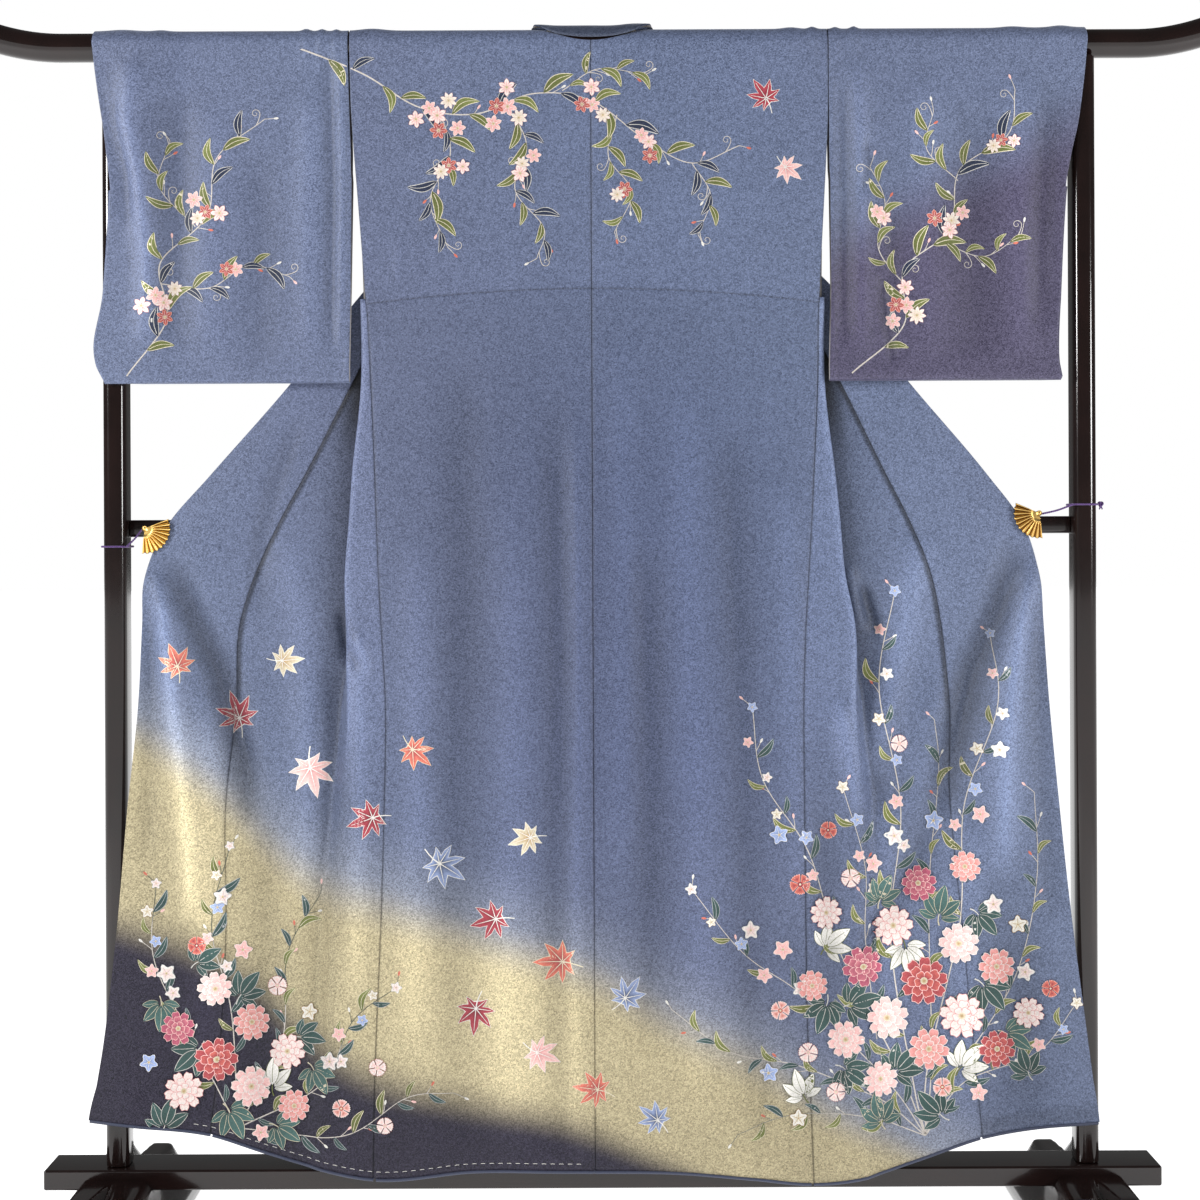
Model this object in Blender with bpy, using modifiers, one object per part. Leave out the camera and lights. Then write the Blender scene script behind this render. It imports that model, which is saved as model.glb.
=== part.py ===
"""A woman's formal kimono hung on a lacquered stand, seen from its back.

The sleeves and shoulders lie over the stand's rod. The back hangs in front of the
rod and the fronts hang behind it, fold outwards and are held open by two fan clips.
X runs to the right, Y away from the viewer, Z up; the origin is under the middle.
Lengths below are in centimetres and are turned into metres when a mesh is made.
"""

import math
from collections import namedtuple

import bmesh
import bpy
import numpy as np

CM = 0.01

# Cloth
CLOTH = 0.15
GAP = 0.03
BACK_SEAM_X = -1.0
COLLAR_WIDTH = 5.5
COLLAR_THICK = 0.22
COLLAR_BEHIND = 0.31
SIDE_SEAM_TOP = 129.5
OVERLAP_POINT = 142.6
NECK_LEFT = 9.2
NECK_RIGHT = 7.6
NECK_DIP = 3.0
HEM_ROLL_RADIUS = 0.25
# The level whose section the hems follow
HEM_LEVEL = 12.0

# Stand
ROD_RADIUS = 2.0
ROD_HEIGHT = 164.5
ROD_LENGTH = 178.0
ROD_RISE = 3.2
ROD_STRAIGHT = 150.0
POST_X = 67.5
POST_WIDTH = 3.2
POST_FRONT = -3.2
POST_BACK = 1.9
POST_HEAD = 164.3
POST_EDGE = 0.7
BAR_HEIGHT = 97.1
BAR_SIZE = 2.4
BAR_Y = 0.9
PLANK_LENGTH = 154.8
PLANK_DEPTH = 9.0
PLANK_THICK = 2.8
PLANK_TOP = 8.3
PLANK_EDGE = 0.35
FOOT_HEIGHT = 7.0
FOOT_LENGTH = 38.0
FOOT_TOP = 8.4
FOOT_BOTTOM = 17.0
GROOVE_WIDTH = 3.4
GROOVE_DEPTH = 2.6

# Clips
FAN_RADIUS = 3.5
FAN_HUB = 0.38
FAN_RIBS = 10
FAN_THICK = 0.14
FAN_RIPPLE = 0.13
FAN_DOME = 0.45
JAW_DEPTH = -2.72
JAW_THICK = 0.12
BARREL_RADIUS = 0.32
TIE_RADIUS = 0.15
KNOT_RADIUS = 0.5
KNOT_Y = -1.2

# Depth between a fold's layers is taken off the front's hang up to this bend
CLOSE_BEND = 0.4
WRAP = ROD_RADIUS + GAP + CLOTH / 2 + 0.07
QUARTER = WRAP * math.pi / 2

# Where a panel stands in depth, height by height
Hang = namedtuple("Hang", "height back front sleeve_front sleeve_mid sleeve_back cuff_front")
HANG = [
    Hang(164.5, -2.20, 2.20, -2.20, 2.20, 2.20, -3.60),
    Hang(155.0, -2.45, 1.30, -2.45, 1.70, 1.30, -3.70),
    Hang(143.5, -2.80, -0.30, -2.85, 1.00, -0.30, -3.80),
    Hang(130.0, -3.10, -2.20, -3.60, 0.00, -2.00, -4.10),
    Hang(117.0, -3.40, -2.50, -4.20, -2.20, -3.00, -4.40),
    Hang(98.0, -3.90, -3.10, -4.20, -2.20, -3.00, -4.40),
    Hang(73.0, -4.50, -3.70, -4.20, -2.20, -3.00, -4.40),
    Hang(42.0, -5.10, -4.30, -4.20, -2.20, -3.00, -4.40),
    Hang(6.0, -5.80, -5.00, -4.20, -2.20, -3.00, -4.40),
]

# One row for each level section of a front, from the side seam to the front edge.
# side, seam and edge are distances out from the middle; strip is the cloth before the
# first fold; turn is how far each fold closes; bend is its radius; width is the cloth.
Level = namedtuple("Level", "height side strip turn bend seam edge edge_y width")
FRONTS = {
    "left": [
        Level(166.0, 34.7, 0.0, 180, 0.17, 9.2, 9.2, 0.0, 30.4),
        Level(155.0, 34.4, 0.0, 180, 0.25, 14.6, 14.6, 0.0, 28.4),
        Level(143.0, 33.5, 0.0, 180, 0.35, 21.3, 21.6, 0.7, 25.8),
        Level(130.0, 32.4, 0.4, 180, 0.40, 28.0, 32.9, -1.3, 24.8),
        Level(117.0, 31.7, 1.0, 180, 0.40, 34.6, 43.2, -1.9, 24.3),
        Level(104.0, 31.2, 2.8, 180, 0.40, 41.3, 54.6, -2.5, 24.3),
        Level(98.0, 31.0, 3.4, 180, 0.40, 44.6, 59.8, -2.9, 24.3),
        Level(90.0, 30.7, 4.3, 180, 0.40, 48.3, 63.3, -3.3, 24.3),
        Level(84.0, 30.4, 4.4, 160, 0.50, 50.2, 63.6, -3.6, 24.3),
        Level(73.0, 29.8, 4.6, 75, 1.00, 50.9, 64.1, -4.0, 22.4),
        Level(58.0, 30.0, 5.0, 50, 2.00, 52.2, 65.6, -4.4, 22.9),
        Level(42.0, 30.5, 6.0, 40, 2.00, 52.1, 67.0, -4.7, 22.1),
        Level(26.0, 31.2, 6.0, 35, 2.00, 52.9, 68.9, -4.9, 22.1),
        Level(14.0, 31.6, 7.0, 20, 2.00, 54.0, 70.8, -5.1, 22.5),
        Level(6.0, 31.7, 7.0, 20, 2.00, 54.6, 71.4, -5.2, 23.0),
    ],
    "right": [
        Level(166.0, 32.0, 0.0, 180, 0.17, 7.6, 7.6, 0.0, 29.6),
        Level(155.0, 32.0, 0.0, 180, 0.25, 13.2, 13.2, 0.0, 27.4),
        Level(143.0, 31.4, 0.0, 180, 0.35, 19.6, 19.9, 0.7, 25.8),
        Level(130.0, 30.6, 0.4, 180, 0.40, 27.0, 33.0, -1.3, 24.8),
        Level(117.0, 30.3, 0.6, 180, 0.40, 33.7, 43.2, -1.9, 24.3),
        Level(104.0, 29.7, 2.6, 180, 0.40, 40.0, 54.0, -2.5, 24.3),
        Level(98.0, 29.4, 3.5, 180, 0.40, 43.0, 58.4, -2.9, 24.3),
        Level(90.0, 28.9, 4.7, 180, 0.40, 46.1, 61.0, -3.3, 24.3),
        Level(84.0, 28.5, 6.2, 160, 0.50, 47.4, 61.5, -3.6, 24.3),
        Level(73.0, 28.1, 6.6, 75, 1.00, 48.6, 62.2, -4.0, 21.9),
        Level(58.0, 28.1, 7.0, 50, 2.00, 48.6, 63.5, -4.4, 21.2),
        Level(42.0, 28.2, 7.0, 40, 2.00, 49.9, 65.1, -4.7, 22.1),
        Level(26.0, 28.4, 7.0, 35, 2.00, 51.3, 67.1, -4.9, 23.3),
        Level(14.0, 29.0, 7.0, 20, 2.00, 52.3, 68.5, -5.1, 23.4),
        Level(6.0, 29.5, 7.0, 20, 2.00, 52.9, 69.0, -5.2, 23.5),
    ],
}

# Height of the hem along the panels, by distance out from the middle
HemPoint = namedtuple("HemPoint", "out height")
HEMS = {
    "left": [
        HemPoint(0.0, 8.2),
        HemPoint(18.0, 8.3),
        HemPoint(31.7, 7.3),
        HemPoint(40.3, 9.1),
        HemPoint(46.4, 10.9),
        HemPoint(54.0, 13.4),
        HemPoint(65.0, 14.8),
        HemPoint(71.0, 15.4),
    ],
    "right": [
        HemPoint(0.0, 8.2),
        HemPoint(8.0, 8.1),
        HemPoint(20.7, 7.2),
        HemPoint(29.5, 6.4),
        HemPoint(36.2, 7.2),
        HemPoint(42.8, 9.3),
        HemPoint(52.2, 12.5),
        HemPoint(60.0, 14.0),
        HemPoint(69.0, 14.6),
    ],
}

# Sleeve outlines: inner and outer edges as distances out, height by height.
# back is where the rear layer's outer edge lies, and back_y how deep that edge is.
SleeveLevel = namedtuple("SleeveLevel", "height inner outer back back_y")
SLEEVES = {
    "left": [
        SleeveLevel(166.0, 34.9, 70.4, 70.3, 2.20),
        SleeveLevel(158.0, 34.7, 69.5, 68.8, 2.30),
        SleeveLevel(152.0, 34.5, 68.6, 65.6, 2.30),
        SleeveLevel(149.5, 34.4, 68.3, 65.1, 1.00),
        SleeveLevel(147.0, 34.4, 68.0, 65.1, -2.20),
        SleeveLevel(145.5, 34.3, 67.8, 65.3, -3.62),
        SleeveLevel(144.0, 34.3, 67.7, 67.7, -3.62),
        SleeveLevel(130.0, 34.4, 68.5, 68.5, -3.70),
        SleeveLevel(119.5, 34.6, 69.4, 69.4, -3.80),
        SleeveLevel(117.4, 34.6, 68.3, 68.3, -3.90),
    ],
    "right": [
        SleeveLevel(166.0, 32.1, 68.1, 68.0, 2.20),
        SleeveLevel(158.0, 32.1, 67.3, 66.9, 2.30),
        SleeveLevel(152.0, 32.1, 66.4, 65.2, 2.20),
        SleeveLevel(149.5, 32.1, 65.8, 64.6, 1.50),
        SleeveLevel(147.0, 32.1, 65.3, 64.4, 0.60),
        SleeveLevel(145.5, 32.2, 65.0, 64.5, -0.50),
        SleeveLevel(144.0, 32.2, 64.8, 64.8, -2.90),
        SleeveLevel(130.0, 32.2, 63.9, 63.9, -2.90),
        SleeveLevel(119.5, 31.9, 63.6, 63.6, -3.00),
        SleeveLevel(117.4, 31.9, 64.0, 64.0, -3.20),
    ],
}
SLEEVE_FOOT = 117.0
CUFF_FOOT = 144.0
# Where the rear layer starts to turn to its outer edge, and over how much width
CUFF_HOLD = {"left": (62.8, 2.4), "right": (61.0, 3.0)}

# Fan clips: pivot, and the angles that the fan spans, seen from the front
Clip = namedtuple("Clip", "x height start end depth tie_height")
CLIPS = {
    "left": Clip(-63.1, 97.1, 22, -97, -3.46, 94.6),
    "right": Clip(60.9, 98.7, 156, 278, -3.46, 99.9),
}

# Heights of the rows that the back, the fronts and the overlap panels share
LEVELS = [160, 155, 149, 143.5, 136, SIDE_SEAM_TOP, 123, 117, 110, 104, 98, 91, 84, 78, 70, 58, 44, 30, 20]
OKUMI_LEVELS = [OVERLAP_POINT] + LEVELS[4:] + [HEM_LEVEL]

# Pieces in the round of one fold, and the first column past the first fold
FOLD_PIECES = 4
FREE_COLUMN = 1 + FOLD_PIECES


def smooth(height, rows, name):
    """Cubic through a table's column, read against its first column."""
    rows = sorted(rows, key=lambda row: row[0])
    at = np.array([row[0] for row in rows], float)
    value = np.array([getattr(row, name) for row in rows], float)
    slope = np.gradient(value, at)
    height = np.clip(np.asarray(height, float), at[0], at[-1])
    k = np.clip(np.searchsorted(at, height) - 1, 0, len(at) - 2)
    step = at[k + 1] - at[k]
    t = (height - at[k]) / step
    rise = value[k + 1] - value[k]
    a = slope[k] * step - rise
    b = rise - slope[k + 1] * step
    return value[k] + t * rise + t * (1 - t) * (a * (1 - t) + b * t)


def straight(height, rows, name):
    """Straight lines through a table's column, read against its first column."""
    rows = sorted(rows, key=lambda row: row[0])
    return np.interp(height, [row[0] for row in rows], [getattr(row, name) for row in rows])


def hem_height(side, out):
    return smooth(out, HEMS[side], "height")


def wrapped(fall, lift, column, way):
    """Depth and height of a sheet over the rod.

    fall is the length from the rod's top; on the rod it turns round its axis, below it
    the sheet hangs at the depth that HANG's column gives. lift is off the rod's side,
    and way is -1 for the front of the rod and 1 for behind it.
    """
    fall = np.asarray(fall, float)
    angle = np.clip(fall / QUARTER, 0, 1) * math.pi / 2
    below = np.maximum(fall - QUARTER, 0)
    height = ROD_HEIGHT - below + (WRAP + lift) * np.cos(angle)
    hanging = smooth(ROD_HEIGHT - below, HANG, column) + way * lift
    on_rod = way * (WRAP + lift) * np.sin(angle)
    return np.where(fall > QUARTER, hanging, on_rod), height


def mesh_object(name, points, faces, material, smooth_shading=True):
    """An object at the origin from points in centimetres."""
    mesh = bpy.data.meshes.new(name)
    mesh.from_pydata((np.asarray(points, float) * CM).tolist(), [], faces)
    mesh.validate()
    mesh.materials.append(material)
    if smooth_shading:
        mesh.shade_smooth()
    obj = bpy.data.objects.new(name, mesh)
    PARTS.objects.link(obj)
    return obj


def grid_faces(rows, columns, keep=None, offset=0):
    """Quads of a grid, left out where keep says that a cell isn't there."""
    faces = []
    for i in range(rows - 1):
        for j in range(columns - 1):
            if keep is None or keep(i, j):
                k = offset + i * columns + j
                faces.append((k, k + 1, k + columns + 1, k + columns))
    return faces


def used_only(points, faces):
    """The points that faces use, with the faces renumbered."""
    used = sorted({k for face in faces for k in face})
    place = {k: n for n, k in enumerate(used)}
    return points[used], [tuple(place[k] for k in face) for face in faces]


def cloth(name, points, faces, material, thickness=CLOTH):
    """A sheet of points turned into a wall of cloth."""
    points, faces = used_only(np.asarray(points, float), faces)
    obj = mesh_object(name, points, faces, material)
    wall = obj.modifiers.new("wall", "SOLIDIFY")
    wall.thickness = thickness * CM
    wall.offset = 0.0
    return obj


def plain_material(name, colour, roughness, metallic=0.0):
    material = bpy.data.materials.new(name)
    material.use_nodes = True
    surface = material.node_tree.nodes["Principled BSDF"]
    surface.inputs["Base Color"].default_value = (*colour, 1.0)
    surface.inputs["Roughness"].default_value = roughness
    surface.inputs["Metallic"].default_value = metallic
    material.diffuse_color = (*colour, 1.0)
    return material


def sign_of(side):
    return -1 if side == "left" else 1


def back_panel(side, material):
    """Half of the back, from the rod's top or the neckline down to the hem."""
    sign = sign_of(side)
    falls = [0.0, 0.14, 0.28, 0.42, 0.56, 0.7, 0.85, 1.0]
    levels = LEVELS[1:]
    across = [0.0, 0.06, 0.12, 0.18, 0.24, 0.5, 1.0]
    rows = []
    for step in falls:
        rows.append([("on_rod", step)] * len(across))
    for level in levels + ["hem"]:
        rows.append([("hang", level)] * len(across))
    neck = NECK_LEFT if side == "left" else NECK_RIGHT
    points = []
    for row in rows:
        for u, (kind, value) in zip(across, row):
            if kind == "on_rod":
                height = 166.0
            else:
                height = HEM_LEVEL if value == "hem" else value
            outer = sign * float(smooth(height, FRONTS[side], "side")) - sign * GAP / 2
            inner = BACK_SEAM_X + sign * GAP / 2
            x = inner + (outer - inner) * u
            dip = NECK_DIP * max(0.0, 1 - ((x - BACK_SEAM_X) / (neck - sign * BACK_SEAM_X)) ** 2)
            if kind == "on_rod":
                fall = dip + (QUARTER + 1.5 - dip) * value
            elif value == "hem":
                fall = QUARTER + ROD_HEIGHT - float(hem_height(side, abs(x)))
            else:
                fall = QUARTER + ROD_HEIGHT - value
            y, z = wrapped(fall, 0.0, "back", -1)
            points.append((x, float(y), float(z)))
    return cloth(f"back_{side}", points, grid_faces(len(rows), len(across)), material)


def front_section(side, height):
    """Out and depth of a front panel's level section, from side seam to okumi seam.

    It runs out along the strip, turns in round the first fold, runs in behind, turns
    out round the second fold and runs on to the seam. The inner run takes the cloth
    that is left over, so the whole keeps its width.
    """
    start, bend, seam, width = (
        float(smooth(height, FRONTS[side], name)) for name in ("side", "bend", "seam", "width")
    )
    strip = float(straight(height, FRONTS[side], "strip"))
    turn = math.radians(min(180.0, float(straight(height, FRONTS[side], "turn"))))
    spare = width - (seam - start)
    inner = (spare - 2 * bend * (turn - math.sin(turn))) / (1 - math.cos(turn))
    inner = max(inner, 0.3)
    last = (seam - start) - strip - 2 * bend * math.sin(turn) - inner * math.cos(turn)
    last = max(last, 0.4)
    at = np.array([start, 0.0])
    heading = 0.0
    found = [at.copy()]

    def run(length, pieces):
        nonlocal at
        for _ in range(pieces):
            at = at + length / pieces * np.array([math.cos(heading), math.sin(heading)])
            found.append(at.copy())

    def bend_by(angle, pieces):
        nonlocal at, heading
        for _ in range(pieces):
            half = angle / pieces / 2
            chord = 2 * bend * math.sin(abs(half))
            heading += half
            at = at + chord * np.array([math.cos(heading), math.sin(heading)])
            heading += half
            found.append(at.copy())

    run(strip, 1)
    bend_by(turn, FOLD_PIECES)
    run(inner, 2)
    bend_by(-turn, FOLD_PIECES)
    run(last, 3)
    return found


def front_point(side, out, depth, bend, fall):
    """Place of a section's point: round the rod near the top, straight down below."""
    lift = depth - 2 * bend
    y, z = wrapped(fall, lift, "front", 1)
    return sign_of(side) * out, float(y), float(z)


def front_panel(side, material):
    """A front, from the rod's top down behind it, folded outwards to its hem."""
    rows = []
    kinds = []
    for share in (0.02, 0.35, 0.68, 1.0):
        rows.append((166.0, QUARTER * share))
        kinds.append("rod")
    for level in LEVELS:
        rows.append((level, QUARTER + ROD_HEIGHT - level))
        kinds.append("hang")
    rows.append((HEM_LEVEL, None))
    kinds.append("hem")
    points = []
    for (height, fall), kind in zip(rows, kinds):
        section = front_section(side, height)
        bend = float(smooth(height, FRONTS[side], "bend"))
        low_bend = min(bend, CLOSE_BEND)
        for k, (out, depth) in enumerate(section):
            if k == 0 and kind != "rod":
                out += GAP
            if k == len(section) - 1:
                out -= GAP
            if kind == "hem":
                at = QUARTER + ROD_HEIGHT - float(hem_height(side, out))
            else:
                at = fall
            points.append(front_point(side, out, depth, low_bend, at))
    columns = len(section)
    side_row = 4 + LEVELS.index(SIDE_SEAM_TOP)

    def keep(i, j):
        return i >= side_row or j >= FREE_COLUMN

    return cloth(f"front_{side}", points, grid_faces(len(rows), columns, keep), material)


def seam_place(side, height):
    """Out, depth and lift at the okumi seam at a height."""
    out, depth = front_section(side, height)[-1]
    bend = min(CLOSE_BEND, float(smooth(height, FRONTS[side], "bend")))
    y, _ = wrapped(QUARTER + ROD_HEIGHT - height, depth - 2 * bend, "front", 1)
    return out, float(y)


def okumi_point(side, height, u):
    """A point of the overlap panel: u runs from its seam (0) to the front edge (1)."""
    seam, seam_y = seam_place(side, height)
    edge = float(smooth(height, FRONTS[side], "edge"))
    edge_y = float(smooth(height, FRONTS[side], "edge_y"))
    if height > SIDE_SEAM_TOP:
        edge_y = seam_y
    seam += GAP
    edge = max(edge, seam + 0.3)
    out = seam + (edge - seam) * u
    swell = 0.5 * math.sin(math.pi * u) * min(1.0, max(0.0, (130 - height) / 30))
    y = seam_y + (edge_y - seam_y) * u - swell
    return out, y


def okumi(side, material):
    sign = sign_of(side)
    across = [0.0, 0.25, 0.5, 0.75, 1.0]
    points = []
    for height in OKUMI_LEVELS:
        for u in across:
            out, y = okumi_point(side, height, u)
            z = height
            if height == OKUMI_LEVELS[-1]:
                z = float(hem_height(side, out))
            points.append((sign * out, y, z))
    return cloth(f"okumi_{side}", points, grid_faces(len(OKUMI_LEVELS), len(across)), material)


def sleeve_rows():
    """Heights down one layer of a sleeve, from the rod's front or back to the foot."""
    return [160, 155, 152, 149.5, 147, 145.5, CUFF_FOOT, 137, 130, 123, 119.5]


def sleeve_point(side, height, u, layer):
    """A point of a sleeve's front or back layer, u from its inner to its outer edge."""
    rows = SLEEVES[side]
    inner = float(straight(height, rows, "inner")) + GAP
    if layer == "front":
        outer = float(straight(height, rows, "outer"))
        out = inner + (outer - inner) * u
        near = float(smooth(height, HANG, "sleeve_front"))
        cuff = float(smooth(height, HANG, "cuff_front"))
        ease = np.clip((out - 57.0) / 7.0, 0, 1)
        return out, near + (cuff - near) * ease * ease * (3 - 2 * ease)
    outer = float(straight(height, rows, "back"))
    outer_y = float(straight(height, rows, "back_y"))
    near = float(smooth(height, HANG, "sleeve_back"))
    middle = float(smooth(height, HANG, "sleeve_mid"))
    out = inner + (outer - inner) * u
    ease = np.clip((out - inner) / 14.0, 0, 1)
    y = near + (middle - near) * ease * ease * (3 - 2 * ease)
    hold = np.clip((out - CUFF_HOLD[side][0]) / CUFF_HOLD[side][1], 0, 1)
    y = y + (outer_y - y) * hold * hold * (3 - 2 * hold)
    return out, float(y)


def sleeve(side, material):
    """A sleeve as one band over the rod, closed at its foot and below the cuff."""
    sign = sign_of(side)
    across = [0.0, 0.14, 0.3, 0.46, 0.62, 0.76, 0.84, 0.875, 0.91, 0.94, 0.97, 1.0]
    if side == "right":
        across = [0.0, 0.14, 0.3, 0.46, 0.62, 0.76, 0.86, 0.91, 0.955, 1.0]
    heights = sleeve_rows()
    points = []
    for height in reversed(heights):
        for u in across:
            out, y = sleeve_point(side, height, u, "front")
            points.append((sign * out, y, height))
    for share in (-1.0, -0.66, -0.33, 0.0, 0.33, 0.66, 1.0):
        for u in across:
            out, _ = sleeve_point(side, 166.0, u, "front")
            layer = "front" if share <= 0 else "back"
            angle = abs(share) * math.pi / 2
            _, reach = sleeve_point(side, ROD_HEIGHT, u, layer)
            y = abs(reach) * math.sin(angle) * (1 if share > 0 else -1)
            points.append((sign * out, y, ROD_HEIGHT + WRAP * math.cos(angle)))
    for height in heights:
        for u in across:
            out, y = sleeve_point(side, height, u, "back")
            points.append((sign * out, y, height))
    for share in (0.8, 0.5, 0.2):
        for u in across:
            front_out, front_y = sleeve_point(side, 117.6, u, "front")
            back_out, back_y = sleeve_point(side, 117.6, u, "back")
            y = front_y + (back_y - front_y) * share
            drop = 0.55 * math.sqrt(1 - (2 * share - 1) ** 2)
            out = front_out + (back_out - front_out) * share
            points.append((sign * out, y, SLEEVE_FOOT + 0.7 - drop))
    points = np.array(points)
    columns = len(across)
    count = len(heights)
    rings = len(points) // columns
    faces = grid_faces(rings, columns)
    last = (rings - 1) * columns
    for j in range(columns - 1):
        faces.append((last + j, last + j + 1, j + 1, j))
    cuff = heights.index(CUFF_FOOT)
    back_start = count + 7
    front_edge = [(count - 1 - i) * columns + columns - 1 for i in range(count)]
    back_edge = [(back_start + i) * columns + columns - 1 for i in range(count)]
    extra = []
    for i in range(cuff, count):
        middle = (points[front_edge[i]] + points[back_edge[i]]) / 2 + np.array([sign * 0.25, 0, 0])
        extra.append(middle)
    first_extra = len(points)
    points = np.vstack([points, extra])
    for n, i in enumerate(range(cuff, count - 1)):
        e = first_extra + n
        faces.append((front_edge[i], front_edge[i + 1], e + 1, e))
        faces.append((e, e + 1, back_edge[i + 1], back_edge[i]))
    end = first_extra + len(extra) - 1
    foot = [(back_start + count + k) * columns + columns - 1 for k in range(3)]
    faces.append((front_edge[-1], foot[2], foot[1], end))
    faces.append((end, foot[1], foot[0], back_edge[-1]))
    obj = cloth(f"sleeve_{side}", points, faces, material)
    turn_faces_out(obj)
    return obj


def turn_faces_out(obj):
    work = bmesh.new()
    work.from_mesh(obj.data)
    bmesh.ops.recalc_face_normals(work, faces=work.faces)
    work.to_mesh(obj.data)
    work.free()


# The collar's sewn edge in the sheet that is wrapped over the rod: its place across, and
# the fall down behind the rod (below zero in front of it), with the way its width runs
CollarPoint = namedtuple("CollarPoint", "x fall way_x way_fall lift")


def collar_stretch(name, rows, material):
    """A stretch of the folded collar: a band laid from its sewn edge inwards."""
    points = []
    for row in rows:
        for w in np.linspace(0, 1, 7):
            x = row.x + row.way_x * COLLAR_WIDTH * w
            fall = row.fall + row.way_fall * COLLAR_WIDTH * w
            way = 1 if fall >= 0 else -1
            y, z = wrapped(abs(fall), row.lift, "front" if way > 0 else "back", way)
            points.append((x, float(y), float(z)))
    return cloth(name, points, grid_faces(len(rows), 7), material, COLLAR_THICK)


def collar_side(side, material):
    """The collar down one front edge, folded behind it, from beside the neck to the clip."""
    sign = sign_of(side)
    points = []
    for height in (160.5, 155, 149, 143, 136, 130, 123, 117, 110, 104, 100.5):
        edge = float(smooth(height, FRONTS[side], "edge"))
        below = float(smooth(height - 1, FRONTS[side], "edge"))
        slant = math.atan2(below - edge, 1.0)
        for w in (0.0, 0.5, 1.0):
            out = edge - 0.1 - math.cos(slant) * COLLAR_WIDTH * w
            z = height - math.sin(slant) * COLLAR_WIDTH * w
            seam_out, depth = seam_place(side, z)
            if z < SIDE_SEAM_TOP:
                edge_out = float(smooth(z, FRONTS[side], "edge"))
                share = np.clip((out - seam_out) / max(edge_out - seam_out, 0.5), 0, 1)
                _, depth = okumi_point(side, z, share)
            points.append((sign * out, depth + COLLAR_BEHIND, z))
    return cloth(f"collar_{side}", points, grid_faces(len(points) // 3, 3), material, COLLAR_THICK)


def collar_neck(material):
    """The collar round the back of the neck, laid back over the rod."""
    rows = [
        CollarPoint(-NECK_LEFT, 1.9, 0.95, 0.2, 0.78),
        CollarPoint(-NECK_LEFT + 0.1, 0.6, 0.8, 0.6, 0.75),
        CollarPoint(-NECK_LEFT + 0.7, -0.6, 0.55, 0.83, 0.72),
        CollarPoint(-6.5, -1.9, 0.25, 0.97, 0.5),
        CollarPoint(-4.0, -2.5, 0.1, 0.99, 0.45),
        CollarPoint(BACK_SEAM_X, -2.7, 0.0, 1.0, 0.45),
        CollarPoint(2.2, -2.5, -0.1, 0.99, 0.45),
        CollarPoint(5.0, -1.9, -0.25, 0.97, 0.70),
        CollarPoint(NECK_RIGHT - 0.7, -0.6, -0.55, 0.83, 0.8),
        CollarPoint(NECK_RIGHT - 0.1, 0.6, -0.8, 0.6, 0.82),
        CollarPoint(NECK_RIGHT, 1.9, -0.95, 0.2, 0.84),
    ]
    return collar_stretch("collar_neck", rows, material)


def rail(name, points, radius, material, closed=False, resolution=2):
    """A round rail, cord or roll along points in centimetres."""
    curve = bpy.data.curves.new(name, "CURVE")
    curve.dimensions = "3D"
    curve.bevel_depth = radius * CM
    curve.bevel_resolution = resolution
    curve.use_fill_caps = True
    spline = curve.splines.new("POLY")
    spline.points.add(len(points) - 1)
    for place, at in zip(spline.points, points):
        place.co = (at[0] * CM, at[1] * CM, at[2] * CM, 1.0)
    spline.use_cyclic_u = closed
    spline.use_smooth = True
    curve.materials.append(material)
    obj = bpy.data.objects.new(name, curve)
    PARTS.objects.link(obj)
    return obj


def box(name, low, high, edge, material, segments=2):
    """A block between two corners with its edges rounded."""
    work = bmesh.new()
    bmesh.ops.create_cube(work, size=1.0)
    low, high = np.array(low), np.array(high)
    for vertex in work.verts:
        vertex.co = ((low + high) / 2 + (high - low) * np.array(vertex.co)) * CM
    mesh = bpy.data.meshes.new(name)
    work.to_mesh(mesh)
    work.free()
    mesh.materials.append(material)
    obj = bpy.data.objects.new(name, mesh)
    PARTS.objects.link(obj)
    if edge:
        bevel = obj.modifiers.new("edges", "BEVEL")
        bevel.width = edge * CM
        bevel.segments = segments
    return obj


def cut(obj, cutter):
    cutter.hide_render = True
    cutter.display_type = "WIRE"
    PARTS.objects.unlink(cutter)
    CUTTERS.objects.link(cutter)
    boolean = obj.modifiers.new("cut", "BOOLEAN")
    boolean.operation = "DIFFERENCE"
    boolean.object = cutter


def cylinder_cutter(name, radius, length, centre):
    work = bmesh.new()
    bmesh.ops.create_cone(
        work, cap_ends=True, segments=32, radius1=radius * CM, radius2=radius * CM, depth=length * CM
    )
    mesh = bpy.data.meshes.new(name)
    work.to_mesh(mesh)
    work.free()
    obj = bpy.data.objects.new(name, mesh)
    obj.rotation_euler = (0.0, math.pi / 2, 0.0)
    obj.location = [value * CM for value in centre]
    PARTS.objects.link(obj)
    return obj


def rod(material):
    """The top rod, level between the posts and curved up at both ends."""
    half = ROD_LENGTH / 2
    run = half - ROD_STRAIGHT / 2
    places = [-half + run * k / 6 for k in range(7)]
    places += [-ROD_STRAIGHT / 4, 0.0, ROD_STRAIGHT / 4]
    places += [half - run * (6 - k) / 6 for k in range(7)]
    points = []
    for x in places:
        past = max(0.0, abs(x) - ROD_STRAIGHT / 2) / run
        points.append((x, 0.0, ROD_HEIGHT + ROD_RISE * past**2))
    return rail("rod", points, ROD_RADIUS, material, resolution=4)


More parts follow.
